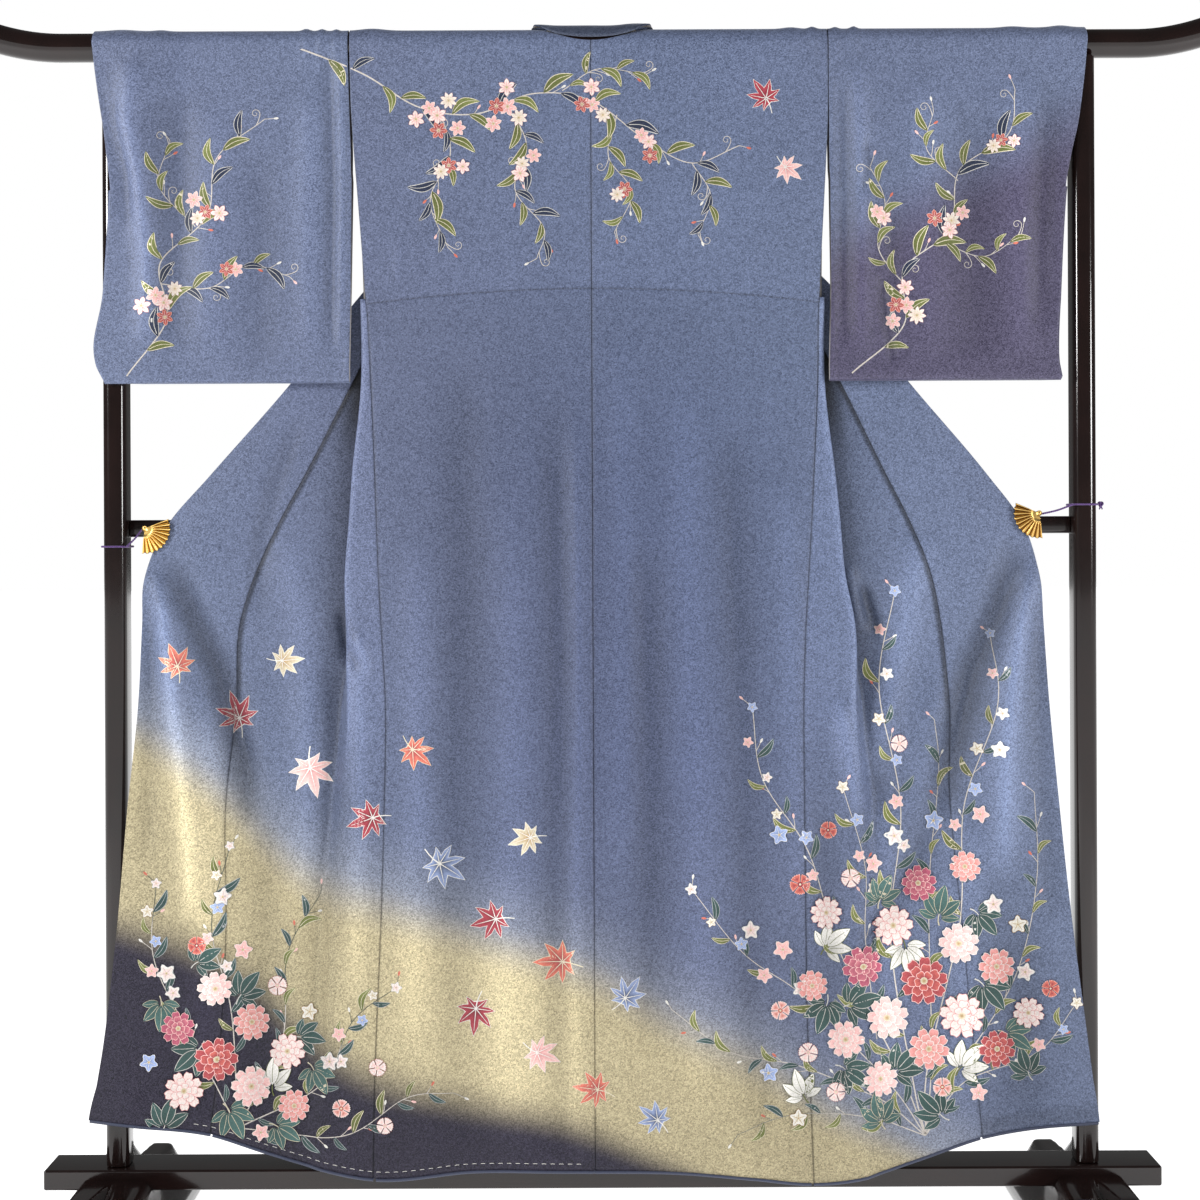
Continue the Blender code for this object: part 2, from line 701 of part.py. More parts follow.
def post(side, material):
    """An oblong post, notched at its head for the rod."""
    x = sign_of(side) * POST_X
    half = POST_WIDTH / 2
    obj = box(
        f"post_{side}",
        (x - half, POST_FRONT, PLANK_TOP + GAP),
        (x + half, POST_BACK, POST_HEAD),
        POST_EDGE,
        material,
        3,
    )
    cutter = cylinder_cutter(f"notch_{side}", ROD_RADIUS + GAP, POST_WIDTH + 4, (x, 0.0, ROD_HEIGHT))
    cut(obj, cutter)
    return obj


def foot(side, material):
    """A foot under a post: a bell-shaped runner let round the plank, grooved at its ends."""
    x0 = sign_of(side) * POST_X
    half = FOOT_LENGTH / 2
    profile = [
        (-FOOT_BOTTOM / 2, 0.0),
        (-FOOT_BOTTOM / 2, 1.2),
        (-FOOT_BOTTOM / 2 + 1.1, 3.4),
        (-FOOT_TOP / 2 - 1.0, 5.2),
        (-FOOT_TOP / 2, FOOT_HEIGHT - 0.5),
        (-FOOT_TOP / 2 + 0.5, FOOT_HEIGHT),
    ]
    profile += [(-x, z) for x, z in reversed(profile)]
    ends = [(-half, 0.80, 0.72), (-half + 1.0, 0.93, 0.90), (-half + 3.5, 1.0, 1.0)]
    ends += [(-y, wide, tall) for y, wide, tall in reversed(ends)]
    points = []
    for y, wide, tall in ends:
        for x, z in profile:
            points.append((x0 + x * wide, y, z * tall))
    count = len(profile)
    faces = []
    for i in range(len(ends) - 1):
        for j in range(count):
            k = (j + 1) % count
            faces.append((i * count + j, i * count + k, (i + 1) * count + k, (i + 1) * count + j))
    faces.append(tuple(range(count))[::-1])
    faces.append(tuple((len(ends) - 1) * count + j for j in range(count)))
    obj = mesh_object(f"foot_{side}", points, faces, material)
    turn_faces_out(obj)
    obj.data.set_sharp_from_angle(angle=math.radians(35))
    housing = box(
        f"housing_{side}",
        (x0 - 12, -PLANK_DEPTH / 2 - GAP, PLANK_TOP - PLANK_THICK - GAP),
        (x0 + 12, PLANK_DEPTH / 2 + GAP, FOOT_HEIGHT + 2),
        0,
        material,
    )
    cut(obj, housing)
    for end in (-1, 1):
        groove = mesh_object(
            f"groove_{side}_{'front' if end < 0 else 'rear'}",
            groove_points(x0, end * (half + 1.0), end * (half - 13.0)),
            [(0, 1, 2), (5, 4, 3), (0, 3, 4, 1), (1, 4, 5, 2), (2, 5, 3, 0)],
            material,
            False,
        )
        turn_faces_out(groove)
        cut(obj, groove)
    return obj


def groove_points(x, outer, inner):
    """A wedge that opens upwards, deep at the foot's end and shallow towards the plank."""
    points = []
    for y, share in ((outer, 1.0), (inner, 0.35)):
        half = GROOVE_WIDTH / 2 * share
        top = FOOT_HEIGHT + 1.0
        points += [(x - half, y, top), (x + half, y, top), (x, y, FOOT_HEIGHT - GROOVE_DEPTH * share)]
    return points


def fan(side, material):
    """The clip's fan: a fluted sector that spreads from its pivot."""
    clip = CLIPS[side]
    points = []
    for radius in (FAN_HUB, FAN_RADIUS * 0.45, FAN_RADIUS * 0.72, FAN_RADIUS):
        for k in range(2 * FAN_RIBS + 1):
            angle = math.radians(clip.start + (clip.end - clip.start) * k / (2 * FAN_RIBS))
            ripple = FAN_RIPPLE * (1 if k % 2 else -1) * (0.0 if radius < FAN_RADIUS / 2 else 1.0)
            points.append(
                (
                    clip.x + radius * math.cos(angle),
                    clip.depth + ripple - FAN_DOME * (1 - (radius / FAN_RADIUS) ** 2),
                    clip.height + radius * math.sin(angle),
                )
            )
    return cloth(f"fan_{side}", points, grid_faces(4, 2 * FAN_RIBS + 1), material, FAN_THICK)


def jaw(side, material):
    """The clip's back jaw, a plain sector behind the cloth."""
    clip = CLIPS[side]
    points = []
    for radius in (FAN_HUB, FAN_RADIUS * 0.8):
        for k in range(7):
            angle = math.radians(clip.start + (clip.end - clip.start) * (k + 1.0) / 8)
            points.append(
                (
                    clip.x + radius * math.cos(angle),
                    JAW_DEPTH,
                    clip.height + radius * math.sin(angle),
                )
            )
    return cloth(f"jaw_{side}", points, grid_faces(2, 7), material, JAW_THICK)


def barrel(side, material):
    """The pin that joins fan and jaw, clear of the cloth's edge."""
    clip = CLIPS[side]
    points = [(clip.x, clip.depth - FAN_DOME - 0.1, clip.height), (clip.x, JAW_DEPTH, clip.height)]
    return rail(f"barrel_{side}", points, BARREL_RADIUS, material, resolution=3)


def tie(side, material):
    """The cord that ties the clip to its post: a loop round the post and a link."""
    clip = CLIPS[side]
    x0 = sign_of(side) * POST_X
    reach = POST_WIDTH / 2 + TIE_RADIUS + GAP
    front = POST_FRONT - TIE_RADIUS - GAP
    back = POST_BACK + TIE_RADIUS + GAP
    corner = 0.5
    corners = [
        (-reach + corner, front),
        (reach - corner, front),
        (reach, front + corner),
        (reach, back - corner),
        (reach - corner, back),
        (-reach + corner, back),
        (-reach, back - corner),
        (-reach, front + corner),
    ]
    points = [(x0 + x, y, clip.tie_height) for x, y in corners]
    return rail(f"tie_{side}", points, TIE_RADIUS, material, closed=True, resolution=2)


def link(side, material):
    """The short double cord from the loop to the clip's barrel."""
    clip = CLIPS[side]
    sign = sign_of(side)
    near = (sign * (POST_X - POST_WIDTH / 2 - 0.18), -3.42, clip.tie_height)
    far = (clip.x + sign * 0.37, -3.4, clip.height - 0.1)
    middle = ((near[0] + far[0]) / 2, -3.45, (near[2] + far[2]) / 2 - 0.15)
    return rail(f"link_{side}", [near, middle, far], TIE_RADIUS, material, resolution=2)


def knot(material):
    """The knot at the outer side of the right post's loop."""
    clip = CLIPS["right"]
    x = (POST_X + POST_WIDTH / 2 + 2 * TIE_RADIUS + KNOT_RADIUS + 2 * GAP)
    work = bmesh.new()
    bmesh.ops.create_icosphere(work, subdivisions=2, radius=KNOT_RADIUS * CM)
    for vertex in work.verts:
        vertex.co.z *= 1.25
        vertex.co.x += x * CM
        vertex.co.y += KNOT_Y * CM
        vertex.co.z += clip.tie_height * CM
    mesh = bpy.data.meshes.new("knot")
    work.to_mesh(mesh)
    work.free()
    mesh.materials.append(material)
    mesh.shade_smooth()
    obj = bpy.data.objects.new("knot", mesh)
    PARTS.objects.link(obj)
    return obj


def hem_roll(panel, side, outs, depth_of, material):
    """The rolled-out edge of the hem facing, a thin tube under a panel's hem."""
    sign = sign_of(side)
    points = []
    for out in outs:
        z = float(hem_height(side, out)) - 2 * GAP - HEM_ROLL_RADIUS
        points.append((sign * out, depth_of(out), z))
    return rail(f"hem_roll_{panel}_{side}", points, HEM_ROLL_RADIUS, material, resolution=1)


def hem_rolls(side, material):
    """The hem rolls of a side's back, front and overlap panel."""
    sign = sign_of(side)
    seam_out = front_section(side, HEM_LEVEL)[-1][0]
    side_out = float(smooth(HEM_LEVEL, FRONTS[side], "side"))
    inner = sign * BACK_SEAM_X
    back_outs = np.linspace(inner + 0.3, side_out - 0.4, 7)

    def back_depth(out):
        return float(smooth(hem_height(side, out), HANG, "back"))

    hem_roll("back", side, back_outs, back_depth, material)
    section = np.array(front_section(side, HEM_LEVEL))
    base_bend = min(CLOSE_BEND, float(smooth(HEM_LEVEL, FRONTS[side], "bend")))

    def front_depth(out):
        depth = float(np.interp(out, section[:, 0], section[:, 1]))
        z = float(hem_height(side, out))
        return float(smooth(z, HANG, "front")) + depth - 2 * base_bend

    hem_roll("front", side, np.linspace(side_out + 0.4, seam_out - 0.4, 7), front_depth, material)

    def okumi_depth(out):
        edge = float(smooth(HEM_LEVEL, FRONTS[side], "edge"))
        seam = seam_place(side, HEM_LEVEL)[0]
        return okumi_point(side, HEM_LEVEL, (out - seam) / (edge - seam))[1]

    edge_out = float(smooth(HEM_LEVEL, FRONTS[side], "edge"))
    seam14 = seam_place(side, HEM_LEVEL)[0]
    hem_roll("okumi", side, np.linspace(seam14 + 0.5, edge_out - 0.2, 6), okumi_depth, material)


for stale in list(bpy.data.objects):
    bpy.data.objects.remove(stale, do_unlink=True)
PARTS = bpy.data.collections.new("kimono_on_stand")
CUTTERS = bpy.data.collections.new("cutters")
bpy.context.scene.collection.children.link(PARTS)
bpy.context.scene.collection.children.link(CUTTERS)


def main():
    silk = plain_material("silk_crepe", (0.17, 0.20, 0.33), 0.6)
    facing = plain_material("hem_facing", (0.10, 0.12, 0.20), 0.6)
    lacquer = plain_material("black_lacquer", (0.012, 0.010, 0.010), 0.12)
    gold = plain_material("gilt_metal", (0.80, 0.58, 0.24), 0.3, 1.0)
    cord = plain_material("purple_cord", (0.10, 0.03, 0.20), 0.6)
    rod(lacquer)
    bar_end = POST_X - POST_WIDTH / 2 - GAP
    box(
        "crossbar",
        (-bar_end, BAR_Y - BAR_SIZE / 2, BAR_HEIGHT - BAR_SIZE / 2),
        (bar_end, BAR_Y + BAR_SIZE / 2, BAR_HEIGHT + BAR_SIZE / 2),
        0.5,
        lacquer,
    )
    box(
        "plank",
        (-PLANK_LENGTH / 2, -PLANK_DEPTH / 2, PLANK_TOP - PLANK_THICK),
        (PLANK_LENGTH / 2, PLANK_DEPTH / 2, PLANK_TOP),
        PLANK_EDGE,
        lacquer,
    )
    collar_neck(silk)
    for side in ("left", "right"):
        post(side, lacquer)
        foot(side, lacquer)
        back_panel(side, silk)
        front_panel(side, silk)
        okumi(side, silk)
        sleeve(side, silk)
        collar_side(side, silk)
        hem_rolls(side, facing)
        fan(side, gold)
        jaw(side, gold)
        barrel(side, gold)
        tie(side, cord)
        link(side, cord)
    knot(cord)


main()
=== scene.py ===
"""The looks of a formal dyed-silk kimono that hangs, seen from its back, on a lacquered stand.

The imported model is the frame: its solids give every place and size. The cloth is made
again here as fine sheets on the same sections, with its folds, seams, dyeing and drawn
flowers, and the stand, the fan clips and the cords get their finished surfaces.
Lengths are in centimetres, as a kimono maker's are, and are turned into metres when a
mesh is made. X runs to the right, Y away from the viewer, Z up.
"""

import math
from collections import namedtuple

import bmesh
import bpy
import numpy as np
from mathutils import Matrix, Vector


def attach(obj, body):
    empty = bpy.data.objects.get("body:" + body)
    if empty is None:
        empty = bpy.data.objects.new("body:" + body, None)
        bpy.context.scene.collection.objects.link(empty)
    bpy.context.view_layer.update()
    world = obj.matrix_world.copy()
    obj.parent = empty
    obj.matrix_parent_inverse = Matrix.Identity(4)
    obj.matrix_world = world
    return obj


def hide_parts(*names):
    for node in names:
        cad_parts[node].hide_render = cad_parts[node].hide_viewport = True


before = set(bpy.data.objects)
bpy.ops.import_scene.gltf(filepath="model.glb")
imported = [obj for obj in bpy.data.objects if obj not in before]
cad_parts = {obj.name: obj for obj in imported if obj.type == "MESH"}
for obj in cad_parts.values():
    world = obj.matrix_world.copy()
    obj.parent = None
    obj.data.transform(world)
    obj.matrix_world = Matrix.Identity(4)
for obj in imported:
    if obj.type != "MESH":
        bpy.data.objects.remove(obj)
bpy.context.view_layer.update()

CM = 0.01
SIDES = ("left", "right")

# Cloth
SHELL = 0.11
CAD_WALL = 0.15
ROD_SLACK = 0.07
TOP_LEVEL = 166.0
GAP = 0.03
BACK_SEAM_X = -1.0
COLLAR_WIDTH = 5.5
COLLAR_SHELL = 0.2
COLLAR_BEHIND = 0.31
SIDE_SEAM_TOP = 129.5
OVERLAP_POINT = 142.6
NECK = {"left": 9.2, "right": 7.6}
NECK_DIP = 3.0
HEM_LEVEL = 12.0
HEM_START = 20.0
HEM_ROLL_RADIUS = 0.22
TUCK_HEIGHT = 130.2
TUCK_FALL = 2.0
TUCK_REACH = 31.0
CLOSE_BEND = 0.4
CREASE_GAIN = 2.2

# Stand
ROD_RADIUS = 2.0
ROD_HEIGHT = 164.5
ROD_LENGTH = 178.0
ROD_RISE = 3.2
ROD_STRAIGHT = 150.0
POST_X = 67.5
POST_WIDTH = 3.2
POST_FRONT = -3.2
POST_BACK = 1.9
POST_ROUND = 1.15
BAR_HEIGHT = 97.1
BAR_SIZE = 2.4
BAR_Y = 0.9
PLANK_LENGTH = 154.8
PLANK_DEPTH = 9.0
PLANK_THICK = 2.8
PLANK_TOP = 8.3
FOOT_HEIGHT = 7.0
FOOT_LENGTH = 38.0
FOOT_TOE = 3.0
FOOT_DRAW = 3.5

# Clips and their cords
FAN_RADIUS = 3.5
FAN_HUB = 1.15
FAN_RIBS = 10
FAN_DOME = 0.45
BARREL_RADIUS = 0.32
JAW_DEPTH = -2.72
TIE_RADIUS = 0.15
KNOT_Y = -1.2

WRAP = ROD_RADIUS + GAP + CAD_WALL / 2 + ROD_SLACK
QUARTER = WRAP * math.pi / 2

# Colours, as linear light; the collar round the neck lies in shade
NECK_SHADE = 0.42
SLATE = np.array([0.116, 0.146, 0.236])
DEEP_SLATE = np.array([0.094, 0.110, 0.184])
MIST = np.array([0.395, 0.340, 0.208])
MIST_EDGE = np.array([0.400, 0.410, 0.400])
VIOLET = np.array([0.017, 0.014, 0.030])
SLEEVE_VIOLET = np.array([0.068, 0.061, 0.110])
LINING = np.array([0.330, 0.310, 0.300])
WHITE = np.array([0.70, 0.68, 0.64])
CREAM = np.array([0.62, 0.56, 0.42])
PALE_PINK = np.array([0.80, 0.50, 0.47])
PINK = np.array([0.66, 0.28, 0.28])
CORAL = np.array([0.48, 0.13, 0.09])
CRIMSON = np.array([0.27, 0.035, 0.05])
MAGENTA = np.array([0.40, 0.06, 0.13])
OLIVE = np.array([0.115, 0.130, 0.038])
PINE = np.array([0.030, 0.065, 0.060])
NAVY = np.array([0.018, 0.026, 0.055])
OCHRE = np.array([0.36, 0.21, 0.07])
STEM = np.array([0.24, 0.25, 0.26])
TWIG_PALE = np.array([0.50, 0.46, 0.42])
TWIG_DARK = np.array([0.085, 0.095, 0.070])
GILT = {"left": np.array([0.92, 0.62, 0.20]), "right": np.array([0.62, 0.40, 0.13])}
GILT_JAW = {"left": np.array([0.80, 0.54, 0.18]), "right": np.array([0.55, 0.36, 0.12])}
TARNISH = np.array([0.10, 0.035, 0.015])

# Where a panel hangs in depth, height by height
Hang = namedtuple("Hang", "height back front sleeve_front sleeve_mid sleeve_back cuff_front")
HANG = [
    Hang(164.5, -2.20, 2.20, -2.20, 2.20, 2.20, -3.60),
    Hang(155.0, -2.45, 1.30, -2.45, 1.70, 1.30, -3.70),
    Hang(143.5, -2.80, -0.30, -2.85, 1.00, -0.30, -3.80),
    Hang(130.0, -3.10, -2.20, -3.60, 0.00, -2.00, -4.10),
    Hang(117.0, -3.40, -2.50, -4.20, -2.20, -3.00, -4.40),
    Hang(98.0, -3.90, -3.10, -4.20, -2.20, -3.00, -4.40),
    Hang(73.0, -4.50, -3.70, -4.20, -2.20, -3.00, -4.40),
    Hang(42.0, -5.10, -4.30, -4.20, -2.20, -3.00, -4.40),
    Hang(6.0, -5.80, -5.00, -4.20, -2.20, -3.00, -4.40),
]

# A front's level sections, from the side seam out to its front edge
Level = namedtuple("Level", "height side strip turn bend seam edge edge_y width")
FRONTS = {
    "left": [
        Level(166.0, 34.7, 0.0, 180, 0.17, 9.2, 9.2, 0.0, 30.4),
        Level(155.0, 34.4, 0.0, 180, 0.25, 14.6, 14.6, 0.0, 28.4),
        Level(143.0, 33.5, 0.0, 180, 0.35, 21.3, 21.6, 0.7, 25.8),
        Level(130.0, 32.4, 0.4, 180, 0.40, 28.0, 32.9, -1.3, 24.8),
        Level(117.0, 31.7, 1.0, 180, 0.40, 34.6, 43.2, -1.9, 24.3),
        Level(104.0, 31.2, 2.8, 180, 0.40, 41.3, 54.6, -2.5, 24.3),
        Level(98.0, 31.0, 3.4, 180, 0.40, 44.6, 59.8, -2.9, 24.3),
        Level(90.0, 30.7, 4.3, 180, 0.40, 48.3, 63.3, -3.3, 24.3),
        Level(84.0, 30.4, 4.4, 160, 0.50, 50.2, 63.6, -3.6, 24.3),
        Level(73.0, 29.8, 4.6, 75, 1.00, 50.9, 64.1, -4.0, 22.4),
        Level(58.0, 30.0, 5.0, 50, 2.00, 52.2, 65.6, -4.4, 22.9),
        Level(42.0, 30.5, 6.0, 40, 2.00, 52.1, 67.0, -4.7, 22.1),
        Level(26.0, 31.2, 6.0, 35, 2.00, 52.9, 68.9, -4.9, 22.1),
        Level(14.0, 31.6, 7.0, 20, 2.00, 54.0, 70.8, -5.1, 22.5),
        Level(6.0, 31.7, 7.0, 20, 2.00, 54.6, 71.4, -5.2, 23.0),
    ],
    "right": [
        Level(166.0, 32.0, 0.0, 180, 0.17, 7.6, 7.6, 0.0, 29.6),
        Level(155.0, 32.0, 0.0, 180, 0.25, 13.2, 13.2, 0.0, 27.4),
        Level(143.0, 31.4, 0.0, 180, 0.35, 19.6, 19.9, 0.7, 25.8),
        Level(130.0, 30.6, 0.4, 180, 0.40, 27.0, 33.0, -1.3, 24.8),
        Level(117.0, 30.3, 0.6, 180, 0.40, 33.7, 43.2, -1.9, 24.3),
        Level(104.0, 29.7, 2.6, 180, 0.40, 40.0, 54.0, -2.5, 24.3),
        Level(98.0, 29.4, 3.5, 180, 0.40, 43.0, 58.4, -2.9, 24.3),
        Level(90.0, 28.9, 4.7, 180, 0.40, 46.1, 61.0, -3.3, 24.3),
        Level(84.0, 28.5, 6.2, 160, 0.50, 47.4, 61.5, -3.6, 24.3),
        Level(73.0, 28.1, 6.6, 75, 1.00, 48.6, 62.2, -4.0, 21.9),
        Level(58.0, 28.1, 7.0, 50, 2.00, 48.6, 63.5, -4.4, 21.2),
        Level(42.0, 28.2, 7.0, 40, 2.00, 49.9, 65.1, -4.7, 22.1),
        Level(26.0, 28.4, 7.0, 35, 2.00, 51.3, 67.1, -4.9, 23.3),
        Level(14.0, 29.0, 7.0, 20, 2.00, 52.3, 68.5, -5.1, 23.4),
        Level(6.0, 29.5, 7.0, 20, 2.00, 52.9, 69.0, -5.2, 23.5),
    ],
}

HemPoint = namedtuple("HemPoint", "out height")
HEMS = {
    "left": [
        HemPoint(0.0, 8.2),
        HemPoint(18.0, 8.3),
        HemPoint(31.7, 7.3),
        HemPoint(40.3, 9.1),
        HemPoint(46.4, 10.9),
        HemPoint(54.0, 13.4),
        HemPoint(65.0, 14.8),
        HemPoint(71.0, 15.4),
    ],
    "right": [
        HemPoint(0.0, 8.2),
        HemPoint(8.0, 8.1),
        HemPoint(20.7, 7.2),
        HemPoint(29.5, 6.4),
        HemPoint(36.2, 7.2),
        HemPoint(42.8, 9.3),
        HemPoint(52.2, 12.5),
        HemPoint(60.0, 14.0),
        HemPoint(69.0, 14.6),
    ],
}

SleeveLevel = namedtuple("SleeveLevel", "height inner outer back back_y")
SLEEVES = {
    "left": [
        SleeveLevel(166.0, 34.9, 70.4, 70.3, 2.20),
        SleeveLevel(158.0, 34.7, 69.5, 68.8, 2.30),
        SleeveLevel(152.0, 34.5, 68.6, 65.6, 2.30),
        SleeveLevel(149.5, 34.4, 68.3, 65.1, 1.00),
        SleeveLevel(147.0, 34.4, 68.0, 65.1, -2.20),
        SleeveLevel(145.5, 34.3, 67.8, 65.3, -3.62),
        SleeveLevel(144.0, 34.3, 67.7, 67.7, -3.62),
        SleeveLevel(130.0, 34.4, 68.5, 68.5, -3.70),
        SleeveLevel(119.5, 34.6, 69.4, 69.4, -3.80),
        SleeveLevel(117.4, 34.6, 68.3, 68.3, -3.90),
    ],
    "right": [
        SleeveLevel(166.0, 32.1, 68.1, 68.0, 2.20),
        SleeveLevel(158.0, 32.1, 67.3, 66.9, 2.30),
        SleeveLevel(152.0, 32.1, 66.4, 65.2, 2.20),
        SleeveLevel(149.5, 32.1, 65.8, 64.6, 1.50),
        SleeveLevel(147.0, 32.1, 65.3, 64.4, 0.60),
        SleeveLevel(145.5, 32.2, 65.0, 64.5, -0.50),
        SleeveLevel(144.0, 32.2, 64.8, 64.8, -2.90),
        SleeveLevel(130.0, 32.2, 63.9, 63.9, -2.90),
        SleeveLevel(119.5, 31.9, 63.6, 63.6, -3.00),
        SleeveLevel(117.4, 31.9, 64.0, 64.0, -3.20),
    ],
}
CUFF_FOOT = 144.0
SLEEVE_FOOT = 117.7
CUFF_HOLD = {"left": (62.8, 2.4), "right": (61.0, 3.0)}

# The neck collar's sewn edge on the sheet over the rod, and which way its width runs
CollarPoint = namedtuple("CollarPoint", "at x fall way_x way_fall lift")
NECK_COLLAR = [
    CollarPoint(0, -9.2, 1.9, 0.95, 0.2, 0.78),
    CollarPoint(1, -9.1, 0.6, 0.8, 0.6, 0.75),
    CollarPoint(2, -8.5, -0.6, 0.55, 0.83, 0.72),
    CollarPoint(3, -6.5, -1.9, 0.25, 0.97, 0.5),
    CollarPoint(4, -4.0, -2.5, 0.1, 0.99, 0.45),
    CollarPoint(5, -1.0, -2.7, 0.0, 1.0, 0.45),
    CollarPoint(6, 2.2, -2.5, -0.1, 0.99, 0.45),
    CollarPoint(7, 5.0, -1.9, -0.25, 0.97, 0.70),
    CollarPoint(8, 6.9, -0.6, -0.55, 0.83, 0.8),
    CollarPoint(9, 7.5, 0.6, -0.8, 0.6, 0.82),
    CollarPoint(10, 7.6, 1.9, -0.95, 0.2, 0.84),
]

Clip = namedtuple("Clip", "x height start end depth tie_height")
CLIPS = {
    "left": Clip(-63.1, 97.1, 22, -97, -3.46, 94.6),
    "right": Clip(60.9, 98.7, 156, 278, -3.46, 99.9),
}

# Soft troughs (depth above zero, away from the viewer) and ridges (below zero), each along
# a path of (x, height) points; width is how far each spreads to both sides
Crease = namedtuple("Crease", "path width depth")
BODY_CREASES = [
    # long soft folds down the back
    Crease(((-6.5, 118), (-5.8, 80), (-6.6, 40), (-6.0, 10)), 2.0, 0.26),
    Crease(((-3.2, 112), (-3.0, 70), (-3.8, 34), (-3.4, 9)), 1.2, -0.22),
    Crease(((-12.5, 104), (-12.0, 70), (-13.4, 30), (-13.0, 10)), 2.6, -0.20),
    Crease(((-19.5, 122), (-19.0, 86), (-20.5, 44), (-20.0, 12)), 2.8, 0.24),
    Crease(((-25.5, 96), (-25.0, 60), (-26.5, 24)), 2.4, -0.22),
    Crease(((6.5, 96), (7.0, 60), (6.2, 24)), 2.2, 0.24),
    Crease(((3.2, 124), (3.4, 84), (2.8, 46)), 2.2, -0.16),
    Crease(((11.5, 120), (12.4, 84), (13.5, 44), (13.0, 12)), 3.0, -0.24),
    Crease(((18.5, 112), (19.6, 76), (20.4, 40), (21.0, 10)), 2.2, 0.26),
    Crease(((22.8, 25.5), (22.0, 16), (21.3, 7.6)), 0.45, 0.12),
    Crease(((26.0, 104), (26.4, 70), (27.2, 42)), 2.0, -0.20),
    Crease(((32.9, 73), (34.4, 64), (35.6, 57.5)), 1.5, -0.34),
    Crease(((32.8, 26.5), (33.4, 21), (34.0, 15)), 0.5, 0.14),
    # the left front: folds that fall from the clip and from under the sleeve
    Crease(((-41.5, 113), (-45.0, 104), (-47.2, 96), (-47.6, 84)), 1.3, 0.20),
    Crease(((-60.6, 94), (-57.0, 86), (-53.0, 77), (-50.0, 66), (-48.6, 56)), 1.8, 0.72),
    Crease(((-61.4, 91), (-60.0, 80), (-58.4, 68), (-57.0, 54), (-56.6, 42)), 1.6, -0.55),
    Crease(((-62.4, 88), (-62.4, 70), (-63.0, 50)), 1.3, 0.22),
    Crease(((-54.6, 74), (-54.0, 60), (-54.4, 40), (-55.0, 20)), 2.2, -0.26),
    Crease(((-43.5, 96), (-41.5, 84), (-40.4, 66), (-41.0, 44)), 2.4, -0.22),
    Crease(((-37.0, 78), (-37.4, 56), (-38.6, 32), (-38.0, 12)), 2.4, 0.28),
    Crease(((-46.8, 60), (-46.4, 40), (-47.4, 16)), 2.3, 0.20),
    Crease(((-33.4, 84), (-33.2, 60), (-34.0, 32)), 1.5, -0.24),
    # the right front
    Crease(((58.6, 95.5), (55.6, 86), (51.8, 77), (49.2, 67), (46.6, 56)), 2.1, 0.72),
    Crease(((46.8, 58), (43.4, 50), (39.6, 43), (36.2, 38)), 2.0, 0.30),
    Crease(((59.6, 92), (57.6, 80), (56.0, 66), (55.6, 48)), 1.9, -0.5),
    Crease(((61.0, 88), (61.2, 66), (62.4, 42)), 1.8, 0.24),
    Crease(((44.6, 96), (42.6, 84), (39.8, 72), (37.2, 62)), 2.2, -0.34),
    Crease(((52.0, 56), (50.6, 40), (51.6, 18)), 2.2, -0.24),
    Crease(((40.0, 60), (39.0, 42), (40.6, 18)), 2.6, -0.26),
    Crease(((57.6, 44), (58.4, 28), (59.6, 16)), 2.6, 0.20),
    Crease(((30.6, 60), (31.4, 44), (32.6, 26)), 1.6, 0.20),
    Crease(((36.5, 89), (38.5, 82)), 0.9, 0.40),
    Crease(((34.5, 92), (36.2, 83)), 0.9, -0.24),
    Crease(((-36.2, 86), (-35.4, 80.5), (-33, 77.5)), 0.9, 0.30),
    Crease(((-33.6, 82), (-32, 77)), 0.8, -0.24),
    # small puckers that rise from the tuck and from the shoulders
    Crease(((-27.6, 137), (-28.2, 131)), 0.6, -0.06),
    Crease(((-12.0, 136), (-12.2, 130.8)), 0.5, -0.05),
    Crease(((8.0, 136), (8.2, 130.6)), 0.5, -0.05),
    Crease(((21.0, 136), (21.2, 130.0)), 0.6, -0.06),
]
SLEEVE_CREASES = [
    Crease(((-67.6, 163), (-68.6, 158), (-67.8, 152), (-66.2, 146), (-65.8, 139)), 1.1, 0.42),
    Crease(((-64.8, 162), (-65.4, 154), (-63.8, 146), (-62.4, 134), (-62.8, 122)), 1.6, -0.40),
    Crease(((-62.2, 165), (-63.6, 161)), 0.7, 0.12),
    Crease(((-59.0, 158), (-58.6, 140), (-59.4, 122)), 2.6, 0.22),
    Crease(((-53.6, 156), (-54.4, 138), (-54.0, 119)), 2.6, -0.14),
    Crease(((-47.0, 150), (-46.6, 134), (-47.4, 119)), 2.4, 0.14),
    Crease(((-40.2, 158), (-40.6, 140), (-40.2, 120)), 1.8, -0.16),
    Crease(((-37.6, 164), (-37.0, 146), (-37.2, 122)), 0.9, 0.20),
    Crease(((-36.0, 163), (-35.8, 146), (-35.9, 121)), 0.7, -0.16),
    Crease(((34.0, 160), (34.2, 146), (34.0, 122)), 1.1, 0.22),
    Crease(((36.2, 162), (36.6, 144), (36.4, 120)), 1.4, -0.24),
    Crease(((37.4, 151), (37.6, 147), (36.8, 143)), 0.6, 0.24),
    Crease(((41.2, 141), (40.8, 135), (41.0, 130)), 0.8, 0.16),
    Crease(((39.2, 132), (39.8, 126), (41.0, 119.5)), 0.6, 0.26),
    Crease(((45.6, 160), (45.0, 142), (46.0, 121)), 2.4, -0.18),
    Crease(((52.4, 156), (52.0, 138), (52.8, 120)), 2.8, 0.18),
    Crease(((58.6, 160), (58.2, 142), (58.8, 120)), 2.2, -0.22),
    Crease(((63.0, 160), (62.4, 150), (61.4, 136), (61.2, 124)), 1.6, 0.24),
]

